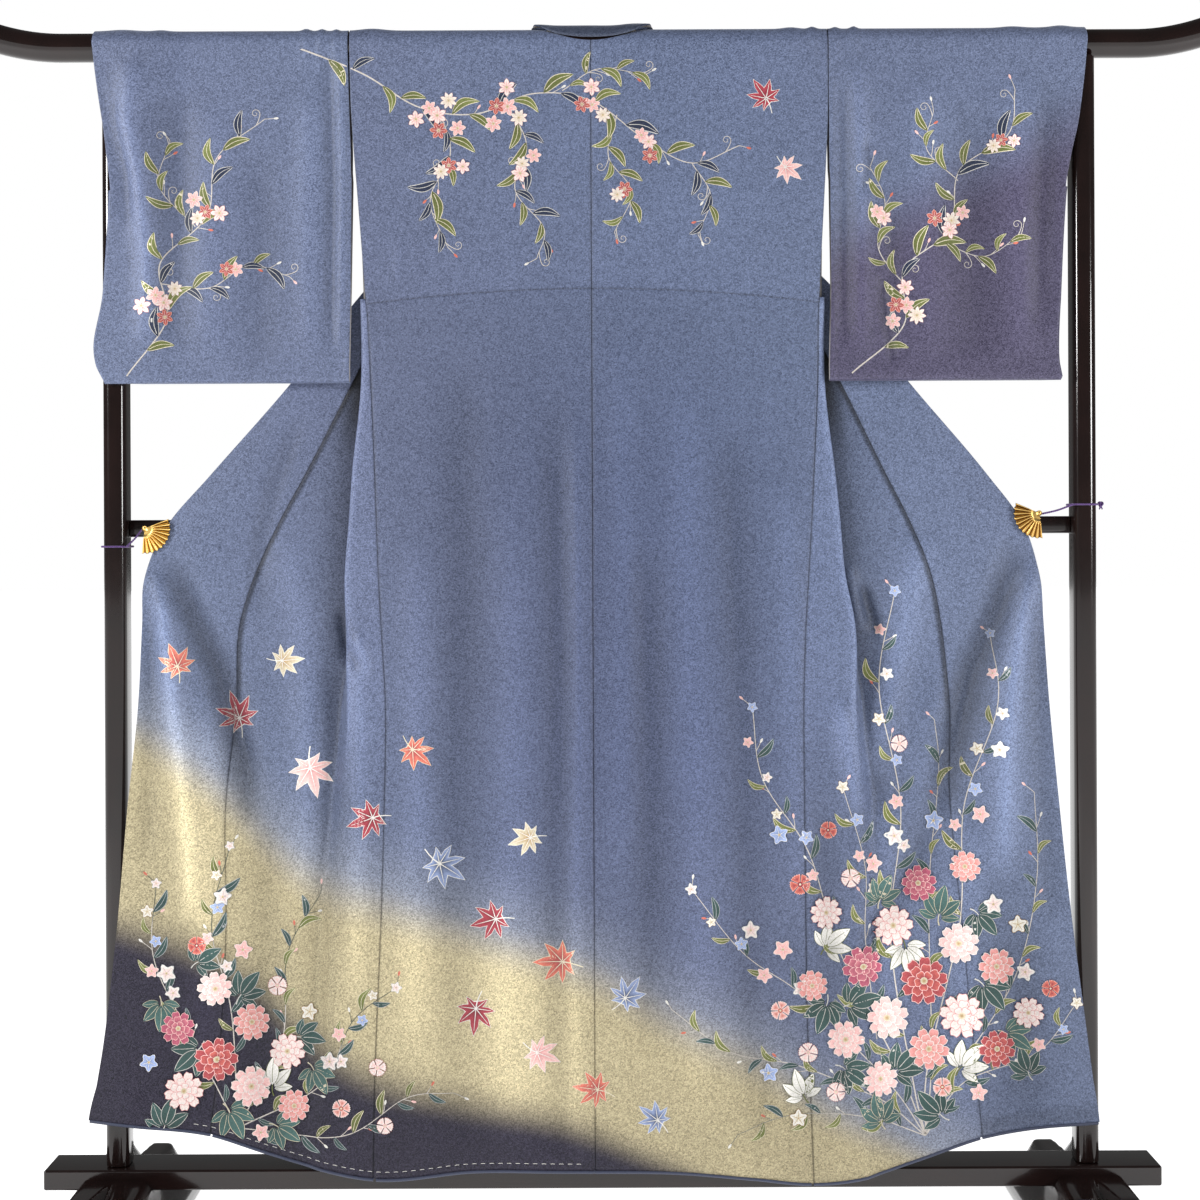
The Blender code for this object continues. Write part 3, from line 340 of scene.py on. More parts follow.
# Small gathers where the cloth bunches on the rod: a rise off the rod that dies away down it
Gather = namedtuple("Gather", "x width rise run")
GATHERS = [
    Gather(-66.4, 2.2, 0.20, 3.0),
    Gather(-61.0, 1.1, 0.16, 3.4),
    Gather(-40.8, 0.6, 0.30, 4.2),
    Gather(-38.6, 0.5, 0.26, 5.5),
    Gather(-36.6, 0.4, 0.22, 5.0),
    Gather(-31.6, 2.2, 0.28, 3.2),
    Gather(27.0, 1.4, 0.22, 4.0),
    Gather(30.0, 0.6, 0.30, 6.0),
    Gather(33.2, 0.5, 0.24, 6.0),
    Gather(35.8, 0.5, 0.34, 5.0),
    Gather(58.0, 2.0, 0.22, 3.0),
    Gather(64.6, 1.6, 0.26, 3.0),
]

# The shaded mist across the skirt: its upper and lower edges, height over x
Edge = namedtuple("Edge", "x height feather")
MIST_TOP = [
    Edge(-75.0, 73.0, 3.5),
    Edge(-63.9, 68.5, 4.0),
    Edge(-53.5, 60.5, 4.5),
    Edge(-41.7, 49.0, 5.0),
    Edge(-30.6, 44.4, 4.5),
    Edge(-18.1, 40.2, 4.0),
    Edge(-1.4, 34.6, 4.5),
    Edge(11.1, 27.4, 5.0),
    Edge(22.2, 22.2, 5.0),
    Edge(31.9, 15.6, 4.0),
    Edge(42.0, 10.6, 3.0),
    Edge(50.0, 7.0, 2.5),
    Edge(75.0, -20.0, 2.5),
]
MIST_FOOT = [
    Edge(-75.0, 45.0, 4.0),
    Edge(-65.3, 42.0, 4.0),
    Edge(-55.6, 38.6, 4.5),
    Edge(-48.6, 34.0, 5.0),
    Edge(-41.7, 27.6, 5.0),
    Edge(-30.6, 21.0, 4.5),
    Edge(-20.8, 18.4, 4.0),
    Edge(-5.6, 15.2, 3.5),
    Edge(5.6, 10.6, 3.0),
    Edge(13.0, 7.4, 2.5),
    Edge(22.0, 2.0, 2.5),
    Edge(75.0, -60.0, 2.5),
]


def columns_of(rows, name):
    """A table's first column and a named one, in the first one's order."""
    rows = sorted(rows, key=lambda row: row[0])
    at = np.array([row[0] for row in rows], float)
    return at, np.array([getattr(row, name) for row in rows], float)


def smooth(place, rows, name):
    """Cubic through a table's column, with the slopes that its neighbours give."""
    at, value = columns_of(rows, name)
    slope = np.gradient(value, at)
    place = np.clip(np.asarray(place, float), at[0], at[-1])
    k = np.clip(np.searchsorted(at, place) - 1, 0, len(at) - 2)
    step = at[k + 1] - at[k]
    t = (place - at[k]) / step
    rise = value[k + 1] - value[k]
    a = slope[k] * step - rise
    b = rise - slope[k + 1] * step
    return value[k] + t * rise + t * (1 - t) * (a * (1 - t) + b * t)


def straight(place, rows, name):
    at, value = columns_of(rows, name)
    return np.interp(place, at, value)


def ease(t):
    """0 below 0, 1 above 1, and 3t^2 - 2t^3 between."""
    t = np.clip(t, 0.0, 1.0)
    return t * t * (3 - 2 * t)


def bell(distance, width):
    """e^(-(distance / width)^2): 1 at no distance, dying away on both sides."""
    return np.exp(-((distance / width) ** 2))


def sign_of(side):
    return -1 if side == "left" else 1


def edge_dense(count):
    """Steps from 0 to 1 that lie closer together at both ends."""
    t = np.linspace(0, 1, count)
    return 0.45 * t + 0.55 * (1 - np.cos(math.pi * t)) / 2


def hem_height(side, out):
    return smooth(out, HEMS[side], "height")


def down_to(hem, share):
    """Heights from HEM_START down to a hem, by shares of the way."""
    return HEM_START + (hem - HEM_START) * share


def tuck_drop(x):
    """How far the tuck lies below its middle: a parabola from the back seam outwards."""
    return TUCK_FALL * ((x - BACK_SEAM_X) / TUCK_REACH) ** 2


def rise_on_rod(x, fall):
    """How far the gathers lift the cloth: a bell over x times a falling curve down the cloth."""
    lift = np.zeros(np.broadcast(x, fall).shape)
    for gather in GATHERS:
        lift = lift + gather.rise * bell(x - gather.x, gather.width) * bell(fall, gather.run)
    return lift


def wrapped(fall, lift, column, way):
    """Depth and height of a sheet over the rod: an arc round its axis for a quarter turn,
    then straight down at the depth that HANG's column gives. way is -1 in front of the
    rod and 1 behind it."""
    fall = np.asarray(fall, float)
    angle = np.clip(fall / QUARTER, 0, 1) * math.pi / 2
    below = np.maximum(fall - QUARTER, 0)
    height = ROD_HEIGHT - below + (WRAP + lift) * np.cos(angle)
    hanging = smooth(ROD_HEIGHT - below, HANG, column) + way * lift
    on_rod = way * (WRAP + lift) * np.sin(angle)
    return np.where(fall > QUARTER, hanging, on_rod), height


def crease_depth(x, z, creases):
    """The sum over the creases of depth * exp(-(distance / width)^2), where distance is to the
    crease's path, tapered as 1 - (2t - 1)^6 along it."""
    total = np.zeros(np.broadcast(x, z).shape)
    for crease in creases:
        path = np.array(crease.path, float)
        run = np.concatenate([[0.0], np.cumsum(np.linalg.norm(np.diff(path, axis=0), axis=1))])
        nearest = np.full(total.shape, 1e9)
        along = np.zeros(total.shape)
        for k in range(len(path) - 1):
            step = path[k + 1] - path[k]
            t = ((x - path[k, 0]) * step[0] + (z - path[k, 1]) * step[1]) / (step @ step)
            t = np.clip(t, 0, 1)
            gone = np.hypot(x - path[k, 0] - t * step[0], z - path[k, 1] - t * step[1])
            closer = gone < nearest
            along = np.where(closer, (run[k] + t * (run[k + 1] - run[k])) / run[-1], along)
            nearest = np.minimum(nearest, gone)
        taper = 1 - (2 * along - 1) ** 6
        total = total + crease.depth * taper * np.exp(-((nearest / crease.width) ** 2))
    return total


def skirt_sway(x, z):
    """Slow waves across the hanging cloth, deeper towards the hem: three sines of unlike lengths."""
    drop = ease((125 - z) / 110)
    wave = 0.10 * np.sin(x / 4.3 + 0.6 * np.sin(z / 21))
    wave = wave + 0.07 * np.sin(x / 2.3 + 1.9 + z / 47) + 0.05 * np.sin(x / 7.1 - z / 33)
    return wave * drop


def body_relief(x, z):
    """Depth added to the back, the fronts and what is sewn to them."""
    held = 1 - 0.85 * np.exp(-((np.abs(x) - 61) ** 2 + (z - 97) ** 2) / 30)
    quiet = ease((162 - z) / 6)
    return (CREASE_GAIN * crease_depth(x, z, BODY_CREASES) + skirt_sway(x, z)) * held * quiet


# Dyeing, and the painted light and shade of folds and seams


def between(low, high, share):
    share = np.asarray(share, float)[..., None]
    return low * (1 - share) + high * share


def body_dye_and_shade(x, z):
    """Slate blue, then the pale edge, the khaki mist and the violet below it, each mixed in
    by an eased step across the mist's two edges. The back's middle is darkened by painted
    shade, and the mist is brightest left of the middle."""
    top = smooth(x, MIST_TOP, "height")
    foot = smooth(x, MIST_FOOT, "height")
    into_mist = ease((top - z) / (2 * straight(x, MIST_TOP, "feather")) + 0.5)
    into_violet = ease((foot - z) / (2 * straight(x, MIST_FOOT, "feather")) + 0.5)
    colour = between(SLATE, DEEP_SLATE, 0.35 + 0.35 * np.sin(x / 19 + z / 37))
    colour = between(colour, MIST_EDGE, 0.30 * bell(z - top - 1.0, 6.5))
    # painted shade: the back's middle is darker, where less light reaches it
    back_middle_shade = bell(x - 6, 27) * (0.10 + 0.20 * ease((140 - z) / 40) - 0.17 * ease((66 - z) / 24))
    slate = colour * (1 - back_middle_shade[..., None] * [1.1, 1.0, 0.72])
    bright = 1 + 0.24 * bell(x + 18, 16) - 0.12 * bell(x - 28, 14)
    return between(between(slate, MIST * bright[..., None], into_mist), VIOLET, into_violet)


def fold_shade(x, z):
    """How the folds gather light: e^(-0.5 * depth), so troughs darken and ridges pale."""
    on_sleeve = (np.abs(x) > 33.5) & (z > 117)
    return np.exp(-0.5 * np.where(on_sleeve, sleeve_relief(x, z), body_relief(x, z)))


def seam_shade(gone, depth=0.5, width=0.13):
    """A seam's dark line: 1 - depth * e^(-(distance / width)^2)."""
    return 1 - depth * np.exp(-((gone / width) ** 2))


def right_sleeve_dye(x, z):
    """Slate above a slanting soft edge, violet below it."""
    edge = 136.5 + (x - 32.6) * 0.50
    into = ease((edge - z) / 13 + 0.5)
    return between(between(SLATE, DEEP_SLATE, 0.3), SLEEVE_VIOLET, into)


def plain_dye(x, z):
    return between(SLATE, DEEP_SLATE, 0.25 + 0.25 * np.sin(x / 17 + z / 29))


# Meshes


def quads(rows, columns, keep=None, loop_rows=False, loop_columns=False):
    """Corner numbers of a grid's faces, as one array. A looped grid closes on its first row
    or column; keep says which faces stay."""
    index = np.arange(rows * columns).reshape(rows, columns)
    if loop_columns:
        index = np.hstack([index, index[:, :1]])
    if loop_rows:
        index = np.vstack([index, index[:1]])
    faces = np.stack([index[:-1, :-1], index[:-1, 1:], index[1:, 1:], index[1:, :-1]], axis=-1)
    if keep is not None:
        faces = faces[keep]
    return faces.reshape(-1, 4)


def make_object(name, points, faces, materials, colours=None):
    """A smooth-shaded object at the origin, from points in centimetres and faces that all
    have the same number of corners. Points that no face uses are left out."""
    corners = np.shape(faces)[1]
    used, faces = np.unique(faces, return_inverse=True)
    points = np.asarray(points, float).reshape(-1, 3)[used] * CM
    mesh = bpy.data.meshes.new(name)
    mesh.from_pydata(points.tolist(), [], faces.reshape(-1, corners).tolist())
    for material in materials:
        mesh.materials.append(material)
    if colours is not None:
        # the dye attribute holds the given colours; on the cloth and the drawings these are dye times
        # painted light and shade
        dye = mesh.color_attributes.new("dye", "FLOAT_COLOR", "POINT")
        full = np.ones((len(used), 4), np.float32)
        full[:, :3] = np.asarray(colours, float).reshape(-1, 3)[used]
        dye.data.foreach_set("color", full.ravel())
    mesh.shade_smooth()
    mesh.update()
    obj = bpy.data.objects.new(name, mesh)
    bpy.context.scene.collection.objects.link(obj)
    return obj


def faces_of(obj):
    """The normals and middles of an object's faces."""
    normals, middles = (np.zeros(len(obj.data.polygons) * 3, np.float32) for _ in range(2))
    obj.data.polygons.foreach_get("normal", normals)
    obj.data.polygons.foreach_get("center", middles)
    return normals.reshape(-1, 3), middles.reshape(-1, 3)


def face_forward(obj):
    """Turn an open sheet's faces so that most look towards the viewer."""
    normals, _ = faces_of(obj)
    if normals[:, 1].sum() > 0:
        obj.data.flip_normals()
    return obj


def face_from_rod(obj):
    """Turn a sheet's faces so that most look away from the rod's middle line."""
    normals, middles = faces_of(obj)
    away = middles - [0, 0, ROD_HEIGHT * CM]
    if (normals[:, 1:] * away[:, 1:]).sum() < 0:
        obj.data.flip_normals()
    return obj


def face_out_of_ring(obj):
    """Turn the faces of an open ring so that those of its front layer look to the viewer."""
    normals, middles = faces_of(obj)
    if normals[middles[:, 1] < -0.02, 1].sum() > 0:
        obj.data.flip_normals()
    return obj


def close_up(obj, merge=0.00002):
    """Merge a closed surface's doubled points and turn its faces outwards."""
    work = bmesh.new()
    work.from_mesh(obj.data)
    bmesh.ops.remove_doubles(work, verts=work.verts, dist=merge)
    bmesh.ops.recalc_face_normals(work, faces=work.faces)
    work.to_mesh(obj.data)
    work.free()
    return obj


def wall(obj, thickness, lined=True):
    """Give a sheet its wall; the face that looks away from the viewer takes the lining."""
    solid = obj.modifiers.new("wall", "SOLIDIFY")
    solid.thickness = thickness * CM
    solid.offset = 0.0
    solid.material_offset = 1 if lined else 0
    solid.material_offset_rim = 0
    return obj


def hang(piece, nodes):
    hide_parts(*nodes)
    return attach(piece, "root")


# The back


def back_points(side):
    """Rows down the cloth and columns from the back seam (u = 0) to the side seam (u = 1).

    x runs straight between the two seams at each height. The first rows go round the rod
    from the neckline's dip, 3 * (1 - (x / neck)^2); the last blend down to the hem's line.
    """
    sign = sign_of(side)
    u = edge_dense(84)
    on_rod = np.linspace(0, 1, 16)
    hanging = np.arange(ROD_HEIGHT - 2.2, HEM_START, -0.74)
    tuck = TUCK_HEIGHT + np.array([0.22, 0.07, 0.0, -0.06, -0.14, -0.3])
    clear_of_tuck = hanging[np.abs(hanging - TUCK_HEIGHT) > 0.5]
    hanging = np.sort(np.concatenate([clear_of_tuck, tuck, [HEM_START]]))[::-1]
    to_hem = np.linspace(0, 1, 20)[1:]
    nominal = np.concatenate([TOP_LEVEL - 3.5 * on_rod, hanging, down_to(HEM_LEVEL, to_hem)])
    outer = smooth(nominal, FRONTS[side], "side") * sign
    x = BACK_SEAM_X + (outer[:, None] - BACK_SEAM_X) * u[None, :]
    neck = NECK[side] - sign * BACK_SEAM_X
    dip = NECK_DIP * np.maximum(0, 1 - ((x - BACK_SEAM_X) / neck) ** 2)
    top, low = slice(0, len(on_rod)), slice(-len(to_hem), None)
    middle = slice(len(on_rod), -len(to_hem))
    fall = np.empty_like(x)
    fall[top] = dip[top] + (QUARTER + 1.5 - dip[top]) * on_rod[:, None]
    level = nominal[middle, None]
    level = level - tuck_drop(x[middle]) * bell(level - TUCK_HEIGHT, 7)
    fall[middle] = QUARTER + ROD_HEIGHT - level
    hem = hem_height(side, np.abs(x[low]))
    fall[low] = QUARTER + ROD_HEIGHT - down_to(hem, to_hem[:, None])
    y, z = wrapped(fall, rise_on_rod(x, fall), "back", -1)
    y = y + body_relief(x, z)
    line = TUCK_HEIGHT - tuck_drop(x)
    below = 0.17 * np.exp(-np.maximum(line - z, 0) / 2.5)
    y = y + np.where(z < line - 0.02, below, 0) - 0.05 * np.exp(-((z - line) ** 2) / 2)
    at_seam = np.abs(x - BACK_SEAM_X)
    kise = 0.13 if side == "left" else 0.05
    y = y + kise * bell(at_seam, 0.16) - 0.05 * bell(at_seam - 0.55, 0.3)
    at_side = np.abs(x - outer[:, None])
    y = y + np.where(z < SIDE_SEAM_TOP, 0.10, 0.0) * bell(at_side, 0.2)
    return np.stack([x, y, z], axis=-1)


# The fronts

STRIP_STEPS = 14
FOLD_STEPS = 9
INNER_STEPS = 26
LAST_STEPS = 46
SEAM_COLUMNS = 8
FREE_COLUMN = STRIP_STEPS + FOLD_STEPS
SECOND_FOLD = STRIP_STEPS + FOLD_STEPS + INNER_STEPS + FOLD_STEPS
TURN_IN = STRIP_STEPS + FOLD_STEPS // 2
TURN_OUT = SECOND_FOLD - FOLD_STEPS // 2


def front_sections(side, height):
    """Out and depth along a front's level section at each height, from side seam to okumi seam.

    The section is a chain of short steps: out along the strip, round the first fold, in
    along the hidden run, round the second fold and out to the seam. Each step's heading
    is known, so the places are running sums of length * cos and length * sin.
    """
    height = np.asarray(height, float).ravel()
    rows = FRONTS[side]
    start, bend, seam, width = (smooth(height, rows, name) for name in ("side", "bend", "seam", "width"))
    strip = np.maximum(smooth(height, rows, "strip"), 0.0)
    strip = np.where(height > 136, 0.0, strip)
    turn = np.radians(np.clip(smooth(height, rows, "turn"), 15, 180))
    spare = width - (seam - start)
    inner = np.maximum((spare - 2 * bend * (turn - np.sin(turn))) / (1 - np.cos(turn)), 0.3)
    last = np.maximum((seam - start) - strip - 2 * bend * np.sin(turn) - inner * np.cos(turn), 0.4)
    swing = turn[:, None] * (np.arange(FOLD_STEPS) + 0.5) / FOLD_STEPS
    chord = (2 * bend * np.sin(turn / FOLD_STEPS / 2))[:, None] * np.ones(FOLD_STEPS)
    strip_steps = strip[:, None] * np.diff(edge_dense(STRIP_STEPS + 1))
    inner_steps = inner[:, None] * np.ones(INNER_STEPS) / INNER_STEPS
    last_steps = last[:, None] * np.diff(edge_dense(LAST_STEPS + 1))
    length = np.hstack([strip_steps, chord, inner_steps, chord, last_steps])
    heading = np.hstack(
        [0 * strip_steps, swing, turn[:, None] + 0 * inner_steps, turn[:, None] - swing, 0 * last_steps]
    )
    begin = np.zeros((len(height), 1))
    out = start[:, None] + np.hstack([begin, np.cumsum(length * np.cos(heading), axis=1)])
    depth = np.hstack([begin, np.cumsum(length * np.sin(heading), axis=1)])
    return out, depth, np.minimum(bend, CLOSE_BEND)


def front_points(side):
    """Rows from the rod's top down behind it to the hem, columns along the sections; and
    which faces stay, since the strip outside the first fold ends at the side seam's top."""
    on_rod = np.linspace(0, 1, 9)
    hanging = np.append(np.arange(ROD_HEIGHT - 0.7, HEM_START, -0.76), HEM_START)
    to_hem = np.linspace(0, 1, 18)[1:]
    nominal = np.concatenate([TOP_LEVEL - 1.5 * on_rod, hanging, down_to(HEM_LEVEL, to_hem)])
    out, depth, low_bend = front_sections(side, nominal)
    hem = hem_height(side, out[-len(to_hem) :])
    fall = np.empty_like(out)
    fall[: len(on_rod)] = QUARTER * on_rod[:, None]
    fall[len(on_rod) : -len(to_hem)] = QUARTER + ROD_HEIGHT - hanging[:, None]
    fall[-len(to_hem) :] = QUARTER + ROD_HEIGHT - down_to(hem, to_hem[:, None])
    x = sign_of(side) * out
    lift = depth - 2 * low_bend[:, None] + rise_on_rod(x, fall)
    y, z = wrapped(fall, lift, "front", 1)
    y = y + body_relief(x, z)
    column = np.arange(out.shape[1])
    side_seam = bell(out - out[:, :1], 0.2) * (column < SEAM_COLUMNS) * (z < SIDE_SEAM_TOP)
    okumi_seam = bell(out - out[:, -1:], 0.15) * (column > SECOND_FOLD)
    y = y + 0.10 * side_seam + 0.08 * okumi_seam
    keep = np.ones((len(nominal) - 1, out.shape[1] - 1), bool)
    keep[nominal[:-1] > SIDE_SEAM_TOP, :FREE_COLUMN] = False
    return np.stack([x, y, z], axis=-1), keep


def seam_line(side, height):
    """Out and depth of the okumi seam at each height."""
    height = np.asarray(height, float)
    out, depth, low_bend = front_sections(side, height)
    lift = depth[:, -1] - 2 * low_bend
    y, _ = wrapped(QUARTER + ROD_HEIGHT - height.ravel(), lift, "front", 1)
    return out[:, -1].reshape(height.shape), y.reshape(height.shape)


def okumi_place(side, height, u):
    """Out and depth of the overlap panel: straight from its seam to the front edge, with a
    swell of sin(pi u) towards the viewer below the side seam's top."""
    seam, seam_y = seam_line(side, height)
    edge = smooth(height, FRONTS[side], "edge")
    edge_y = smooth(height, FRONTS[side], "edge_y")
    high = ease((height - SIDE_SEAM_TOP + 0.5) / 3)
    edge_y = edge_y * (1 - high) + seam_y * high
    edge = np.maximum(edge, seam + 0.3)
    out = seam + (edge - seam) * u
    swell = 0.5 * np.sin(math.pi * u) * np.clip((130 - height) / 30, 0, 1)
    return out, seam_y + (edge_y - seam_y) * u - swell


def okumi_points(side):
    """Rows from the overlap panel's point to the hem, columns from its seam to the edge."""
    u = edge_dense(44)
    hanging = np.append(np.arange(OVERLAP_POINT, HEM_START, -0.72), HEM_START)
    to_hem = np.linspace(0, 1, 16)[1:]
    nominal = np.concatenate([hanging, down_to(HEM_LEVEL, to_hem)])
    z = np.repeat(nominal[:, None], len(u), axis=1)
    out, y = okumi_place(side, z, u[None, :])
    z[-len(to_hem) :] = down_to(hem_height(side, out[-len(to_hem) :]), to_hem[:, None])
    x = sign_of(side) * out
    y = y + body_relief(x, z) + 0.09 * bell(out - out[:, :1], 0.15)
    return np.stack([x, y, z], axis=-1)


# The sleeves


def sleeve_place(side, height, u, layer):
    """Out and depth of a sleeve's front or back layer, u from its inner to its outer edge."""
    rows = SLEEVES[side]
    inner = straight(height, rows, "inner") + GAP
    if layer == "front":
        outer = smooth(height, rows, "outer")
        out = inner + (outer - inner) * u
        near = smooth(height, HANG, "sleeve_front")
        cuff = smooth(height, HANG, "cuff_front")
        return out, near + (cuff - near) * ease((out - 57.0) / 7.0)
    outer = straight(height, rows, "back")
    outer_y = straight(height, rows, "back_y")
    near = smooth(height, HANG, "sleeve_back")
    middle = smooth(height, HANG, "sleeve_mid")
    out = inner + (outer - inner) * u
    y = near + (middle - near) * ease((out - inner) / 14.0)
    hold_at, hold_over = CUFF_HOLD[side]
    return out, y + (outer_y - y) * ease((out - hold_at) / hold_over)


def sleeve_relief(x, z):
    """Creases of the sleeves, and the raised fold along the seam that joins each to the body."""
    quiet = ease((165.5 - z) / 3)
    inner = np.where(x < 0, np.interp(z, [117, 166], [34.6, 34.9]), 32.1)
    rim = -0.10 * np.exp(-(((np.abs(x) - inner - 0.45) / 0.28) ** 2))
    depth = CREASE_GAIN * crease_depth(x, z, SLEEVE_CREASES) * quiet
    over_post = np.exp(-(((np.abs(x) - POST_X) / 2.8) ** 4))
    return np.where(depth > 0, depth * (1 - 0.8 * over_post), depth) + rim * quiet


def half_turned(first, last, count, reach):
    """Rows that swing half round from one row of points to another, reach further out."""
    turn = np.linspace(0, math.pi, count)[:, None, None]
    return (first + last) / 2 + (first - last) / 2 * np.cos(turn) + reach * np.sin(turn)


def sleeve_points(side):
    """A sleeve's rings of points, up the front layer, round the rod, down the back layer and
    round the foot; the front layer alone; and the strip and corner that close its outer
    edge below the cuff."""
    sign = sign_of(side)
    u = edge_dense(96)
    step = 0.68
    cuff = np.arange(163.9, CUFF_FOOT, -step)
    low = np.append(np.arange(CUFF_FOOT, 118.1, -step), SLEEVE_FOOT)
    down = np.concatenate([cuff, low])[:, None]
    up = down[::-1]
    out, y = sleeve_place(side, up, u[None, :], "front")
    x = sign * out
    y = y + sleeve_relief(x, up) - rise_on_rod(x, ROD_HEIGHT - up + QUARTER)
    front = np.stack([x, y, up + 0 * x], axis=-1)
    out, y = sleeve_place(side, down, u[None, :], "back")
    x = sign * out
    close = ease((2.6 - y + smooth(down, HANG, "sleeve_front")) / 2.0)
    y = y + (0.4 + 0.6 * close) * sleeve_relief(x, down)
    back = np.stack([x, y, down + 0 * x], axis=-1)
    share = np.linspace(-1, 1, 19)[:, None]
    angle = np.abs(share) * math.pi / 2
    top_front, reach_front = sleeve_place(side, ROD_HEIGHT, u, "front")
    top_back, reach_back = sleeve_place(side, ROD_HEIGHT, u, "back")
    mix = (share + 1) / 2
    x = sign * (top_front * (1 - mix) + top_back * mix)
    lift = rise_on_rod(x, share * QUARTER)
    reach = np.where(share <= 0, np.abs(reach_front), np.abs(reach_back)) + lift
    y = reach * np.sin(angle) * np.sign(share)
    over = np.stack([x, y, ROD_HEIGHT + (WRAP + lift) * np.cos(angle)], axis=-1)
    foot = half_turned(back[-1], front[0], 9, [0, 0, -0.5])[1:-1]
    edge = (front[::-1][-len(low) :, -1], back[-len(low) :, -1])
    strip = half_turned(*edge, 9, [sign * 0.22, 0, 0]).swapaxes(0, 1)
    corner = half_turned(front[0, -1:], back[-1, -1:], 9, [0, 0, -0.5])[:, 0]
    closing = np.concatenate([strip, [(strip[-1] + corner) / 2, corner]])
    return np.concatenate([front, over, back, foot]), front, closing


def sleeve_piece(side, materials, dye):
    """The sleeve as one sheet, closed below the cuff; and its front layer's points."""
    rings, front, closing = sleeve_points(side)
    count = rings.shape[0] * rings.shape[1]
    points = np.concatenate([rings.reshape(-1, 3), closing.reshape(-1, 3)])
    faces = [quads(*rings.shape[:2], loop_rows=True), quads(*closing.shape[:2]) + count]
    colours = dye(points[:, 0], points[:, 2])
    colours = colours * fold_shade(points[:, 0], np.maximum(points[:, 2], 117.1))[:, None]
    sleeve = make_object(f"sleeve_{side}_silk", points, np.concatenate(faces), materials, colours)
    face_out_of_ring(close_up(sleeve))
    wall(sleeve, SHELL)
    hang(sleeve, [f"sleeve_{side}"])
    return sleeve, front


# The collar


def side_collar_points(side):
    """The collar down a front's edge: a band of straight width, square to the edge, laid
    behind the front at COLLAR_BEHIND."""
    sign = sign_of(side)
    height = np.arange(160.5, 100.4, -0.6)[:, None]
    w = np.linspace(0, 1, 12)[None, :]
    edge = smooth(height, FRONTS[side], "edge")
    slant = np.arctan2(smooth(height - 1, FRONTS[side], "edge") - edge, 1.0)
    out = edge - 0.1 - np.cos(slant) * COLLAR_WIDTH * w
    z = height - np.sin(slant) * COLLAR_WIDTH * w
    seam_out, seam_y = seam_line(side, z)
    edge_out = smooth(z, FRONTS[side], "edge")
    share = np.clip((out - seam_out) / np.maximum(edge_out - seam_out, 0.5), 0, 1)
    _, okumi_y = okumi_place(side, z, share)
    high = ease((z - SIDE_SEAM_TOP + 0.5) / 3)
    depth = okumi_y * (1 - high) + seam_y * high
    x = sign * out
    return np.stack([x, depth + COLLAR_BEHIND + 0.05 + body_relief(x, z), z], axis=-1)


def neck_collar_points():
    """The collar round the back of the neck: rows along it, columns across its width, each
    laid over the rod at its own fall; its two long edges are rolled under a little."""
    at = np.linspace(0, 10, 90)[:, None]
    w = np.linspace(0, 1, 16)[None, :]
    way_x, way_fall = (smooth(at, NECK_COLLAR, name) for name in ("way_x", "way_fall"))
    x = smooth(at, NECK_COLLAR, "x") + way_x * COLLAR_WIDTH * w
    fall = smooth(at, NECK_COLLAR, "fall") + way_fall * COLLAR_WIDTH * w
    lift = smooth(at, NECK_COLLAR, "lift") + 0.16 * np.sin(math.pi * w) - 0.05
    front_y, front_z = wrapped(np.abs(fall), lift, "back", -1)
    rear_y, rear_z = wrapped(np.abs(fall), lift, "front", 1)
    y = np.where(fall < 0, front_y, rear_y)
    return np.stack([x, y, np.where(fall < 0, front_z, rear_z)], axis=-1)


# Tubes and bars


def tube(path, radius, count=16, taper=None):
    """Rings of a round tube along a path: each ring lies in the plane square to the path, on
    two directions that are the cross products of the path's heading with an upright."""
    path = np.asarray(path, float)
    heading = np.gradient(path, axis=0)
    heading /= np.linalg.norm(heading, axis=1)[:, None]
    upright = np.where(np.abs(heading[:, 2:3]) > 0.9, [[1.0, 0.0, 0.0]], [[0.0, 0.0, 1.0]])
    across = np.cross(heading, upright)
    across /= np.linalg.norm(across, axis=1)[:, None]
    lift = np.cross(across, heading)
    turn = np.linspace(0, 2 * math.pi, count, endpoint=False)
    size = radius if taper is None else radius * taper[:, None, None]
    ring = np.cos(turn)[None, :, None] * across[:, None] + np.sin(turn)[None, :, None] * lift[:, None]
    return path[:, None] + ring * size


def capped(rings):
    """Rings with a pole added at each end, so that the surface closes."""
    first = np.repeat(rings[:1].mean(axis=1, keepdims=True), rings.shape[1], axis=1)
    last = np.repeat(rings[-1:].mean(axis=1, keepdims=True), rings.shape[1], axis=1)
    return np.concatenate([first, rings, last])


def solid_of_rings(name, rings, material, colours=None, angle=40):
    """A closed solid from rings, with smooth shading up to an edge angle."""
    rings = capped(rings)
    if colours is not None:
        colours = np.concatenate([colours[:1], colours, colours[-1:]])
    faces = quads(*rings.shape[:2], loop_columns=True)
    obj = close_up(make_object(name, rings, faces, [material], colours))
    obj.data.set_sharp_from_angle(angle=math.radians(angle))
    return obj


def joined_rings(parts):
    """Points and faces of several tubes; each part is its rings and whether they loop."""
    points, faces, base = [], [], 0
    for rings, loops in parts:
        rows, count = rings.shape[:2]
        faces.append(quads(rows, count, loop_rows=loops, loop_columns=True) + base)
        points.append(rings.reshape(-1, 3))
        base += rows * count
    return np.concatenate(points), np.concatenate(faces)


